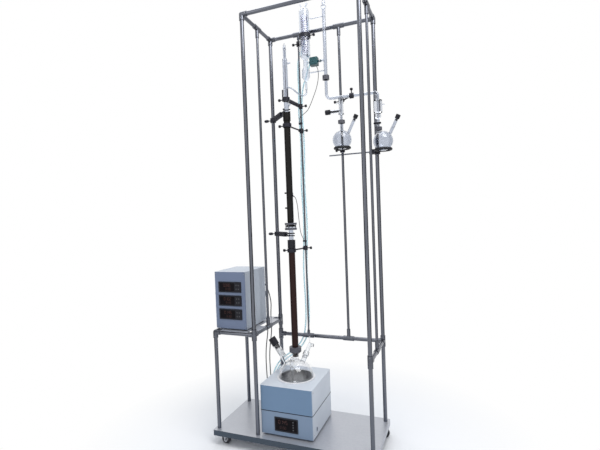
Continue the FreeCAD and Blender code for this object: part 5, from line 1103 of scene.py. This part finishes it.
class DISTILLATION_OT_studio(bpy.types.Operator):
    """Sets the camera, the lamps, the sky and the pale floor"""

    bl_idname = "distillation.studio"
    bl_label = "Studio"

    def execute(self, context):
        scene, studio = context.scene, context.scene.distillation_studio
        scene.view_settings.view_transform = "Standard"
        camera = bpy.data.objects.new("camera", bpy.data.cameras.new("camera"))
        camera.location = (0.9875, -2.4284, 1.4494)
        camera.rotation_euler = [math.radians(turn) for turn in (88.57420421, 2.09109140, 21.42748196)]
        camera.data.sensor_width, camera.data.lens = 36.0, studio.lens
        camera.data.shift_y = 0.0043
        camera.data.clip_end = 60
        scene.collection.objects.link(camera)
        scene.camera = camera
        self.lamp("key_lamp", (1.5, -1.3, 4.3), (0, 0, 1.0), 2.2, studio.key)
        self.lamp("fill_lamp", (-2.4, -2.6, 2.6), (0, 0, 1.3), 2.6, studio.key * 0.22)
        self.lamp("top_lamp", (-0.3, 0.6, 4.6), (0, 0, 0), 2.4, studio.key * 0.45)
        self.sky(scene, studio)
        self.floor(studio)
        self.card("left_card", (-2.13, -0.88, 1.7), (0.931, 0.365, 0))
        self.card("right_card", (2.33, 0.88, 1.7), (-0.931, -0.365, 0))
        return {"FINISHED"}

    def card(self, name, centre, axis):
        """A tall dark card beside the object, seen only in its glass and metal, which draws their edges."""
        look, tree, shader = blank(name)
        filled(tree, shader, {"Base Color": (0.03, 0.03, 0.035, 1), "Roughness": 0.9,
                              "Specular IOR Level": 0.0})
        card = made(name, [plaque(2.4, 3.4, 0.05, [(0, 0), (0, 0.01)], centre, axis)], look)
        card.visible_camera = card.visible_diffuse = card.visible_shadow = False

    def lamp(self, name, place, target, size, power):
        """A square soft lamp that looks at a point."""
        light = bpy.data.lights.new(name, "AREA")
        light.size, light.energy = size, power
        lamp = bpy.data.objects.new(name, light)
        lamp.location = place
        away = lamp.location - type(lamp.location)(target)
        lamp.rotation_euler = away.to_track_quat("Z", "Y").to_euler()
        bpy.context.scene.collection.objects.link(lamp)

    def seen(self, tree):
        """1 for the rays of the camera and those in metal and glass, and 0 for those that light."""
        path = add(tree, "LightPath").outputs
        either = worked(tree, "ADD", path["Is Camera Ray"], path["Is Glossy Ray"])
        return worked(tree, "MINIMUM", worked(tree, "ADD", either, path["Is Transmission Ray"]), 1.0)

    def sky(self, scene, studio):
        """A sky that lights the object softly and is white to the camera, and in metal and glass."""
        world = bpy.data.worlds.new("sky")
        world.use_nodes = True
        tree = world.node_tree
        tree.nodes.clear()
        light = add(tree, "Background", {"Color": (0.86, 0.92, 1.0, 1), "Strength": studio.sky})
        shown = add(tree, "Background", {"Color": (1, 1, 1, 1), "Strength": 1.0})
        mix = add(tree, "MixShader", {0: self.seen(tree), 1: light.outputs[0], 2: shown.outputs[0]})
        add(tree, "OutputWorld", {"Surface": mix.outputs[0]})
        scene.world = world

    def floor(self, studio):
        """A round floor that turns to plain white away from the object, for the camera, metal and glass."""
        look, tree, shader = blank("studio_floor")
        wear = effect(tree, "Surface Wear", {
            "Colour": four(studio.floor), "Worn Colour": four(studio.floor, 0.985), "Smudge Scale": 1.2,
            "Grain Scale": (30, 30, 30), "Grain Share": 0.2, "Roughness Low": 0.75, "Roughness High": 0.85})
        filled(tree, shader, {"Base Color": wear["Colour"], "Roughness": wear["Roughness"]})
        away = add(tree, "VectorMath", {0: place_of(tree)}, operation="LENGTH").outputs["Value"]
        faded = worked(tree, "MULTIPLY", spread(tree, away, 0.65, 1.5), self.seen(tree))
        white = add(tree, "Emission", {"Color": (1, 1, 1, 1), "Strength": 1.0})
        mix = add(tree, "MixShader", {0: faded, 1: shader.outputs[0], 2: white.outputs[0]})
        filled(tree, tree.nodes["Material Output"], {"Surface": mix.outputs[0]})
        rings = [(14.0, -0.02), (14.0, 0), (6.0, 0), (1.5, 0), (0.5, 0)]
        made("studio_floor", [turned(rings, (0, 0, 0), UP, 64)], look)


# ---------------------------------------------------------------- panel and registration

OPERATORS = (DISTILLATION_OT_studio, DISTILLATION_OT_cords, DISTILLATION_OT_frame, DISTILLATION_OT_casters,
             DISTILLATION_OT_mantle, DISTILLATION_OT_control_box, DISTILLATION_OT_columns,
             DISTILLATION_OT_glassware, DISTILLATION_OT_coil, DISTILLATION_OT_supports)


class DISTILLATION_PT_panel(bpy.types.Panel):
    """The sizes, the colours and the buttons that make each group of pieces"""

    bl_idname = "DISTILLATION_PT_panel"
    bl_label = "Distillation Unit"
    bl_space_type = "VIEW_3D"
    bl_region_type = "UI"
    bl_category = "Distillation"

    def draw(self, context):
        for operator in OPERATORS:
            self.layout.operator(operator.bl_idname)
        for name, group in GROUPS.items():
            box = self.layout.box()
            box.label(text=group.__doc__)
            for field in group.__annotations__:
                box.prop(getattr(context.scene, name), field)


CLASSES = (*GROUPS.values(), *OPERATORS, DISTILLATION_PT_panel)


def register():
    for item in CLASSES:
        bpy.utils.register_class(item)
    for name, group in GROUPS.items():
        setattr(bpy.types.Scene, name, PointerProperty(type=group))


def unregister():
    for name in GROUPS:
        delattr(bpy.types.Scene, name)
    for item in reversed(CLASSES):
        bpy.utils.unregister_class(item)


def main():
    register()
    for operator in OPERATORS:
        group, name = operator.bl_idname.split(".")
        getattr(getattr(bpy.ops, group), name)()


if __name__ == "__main__":
    main()
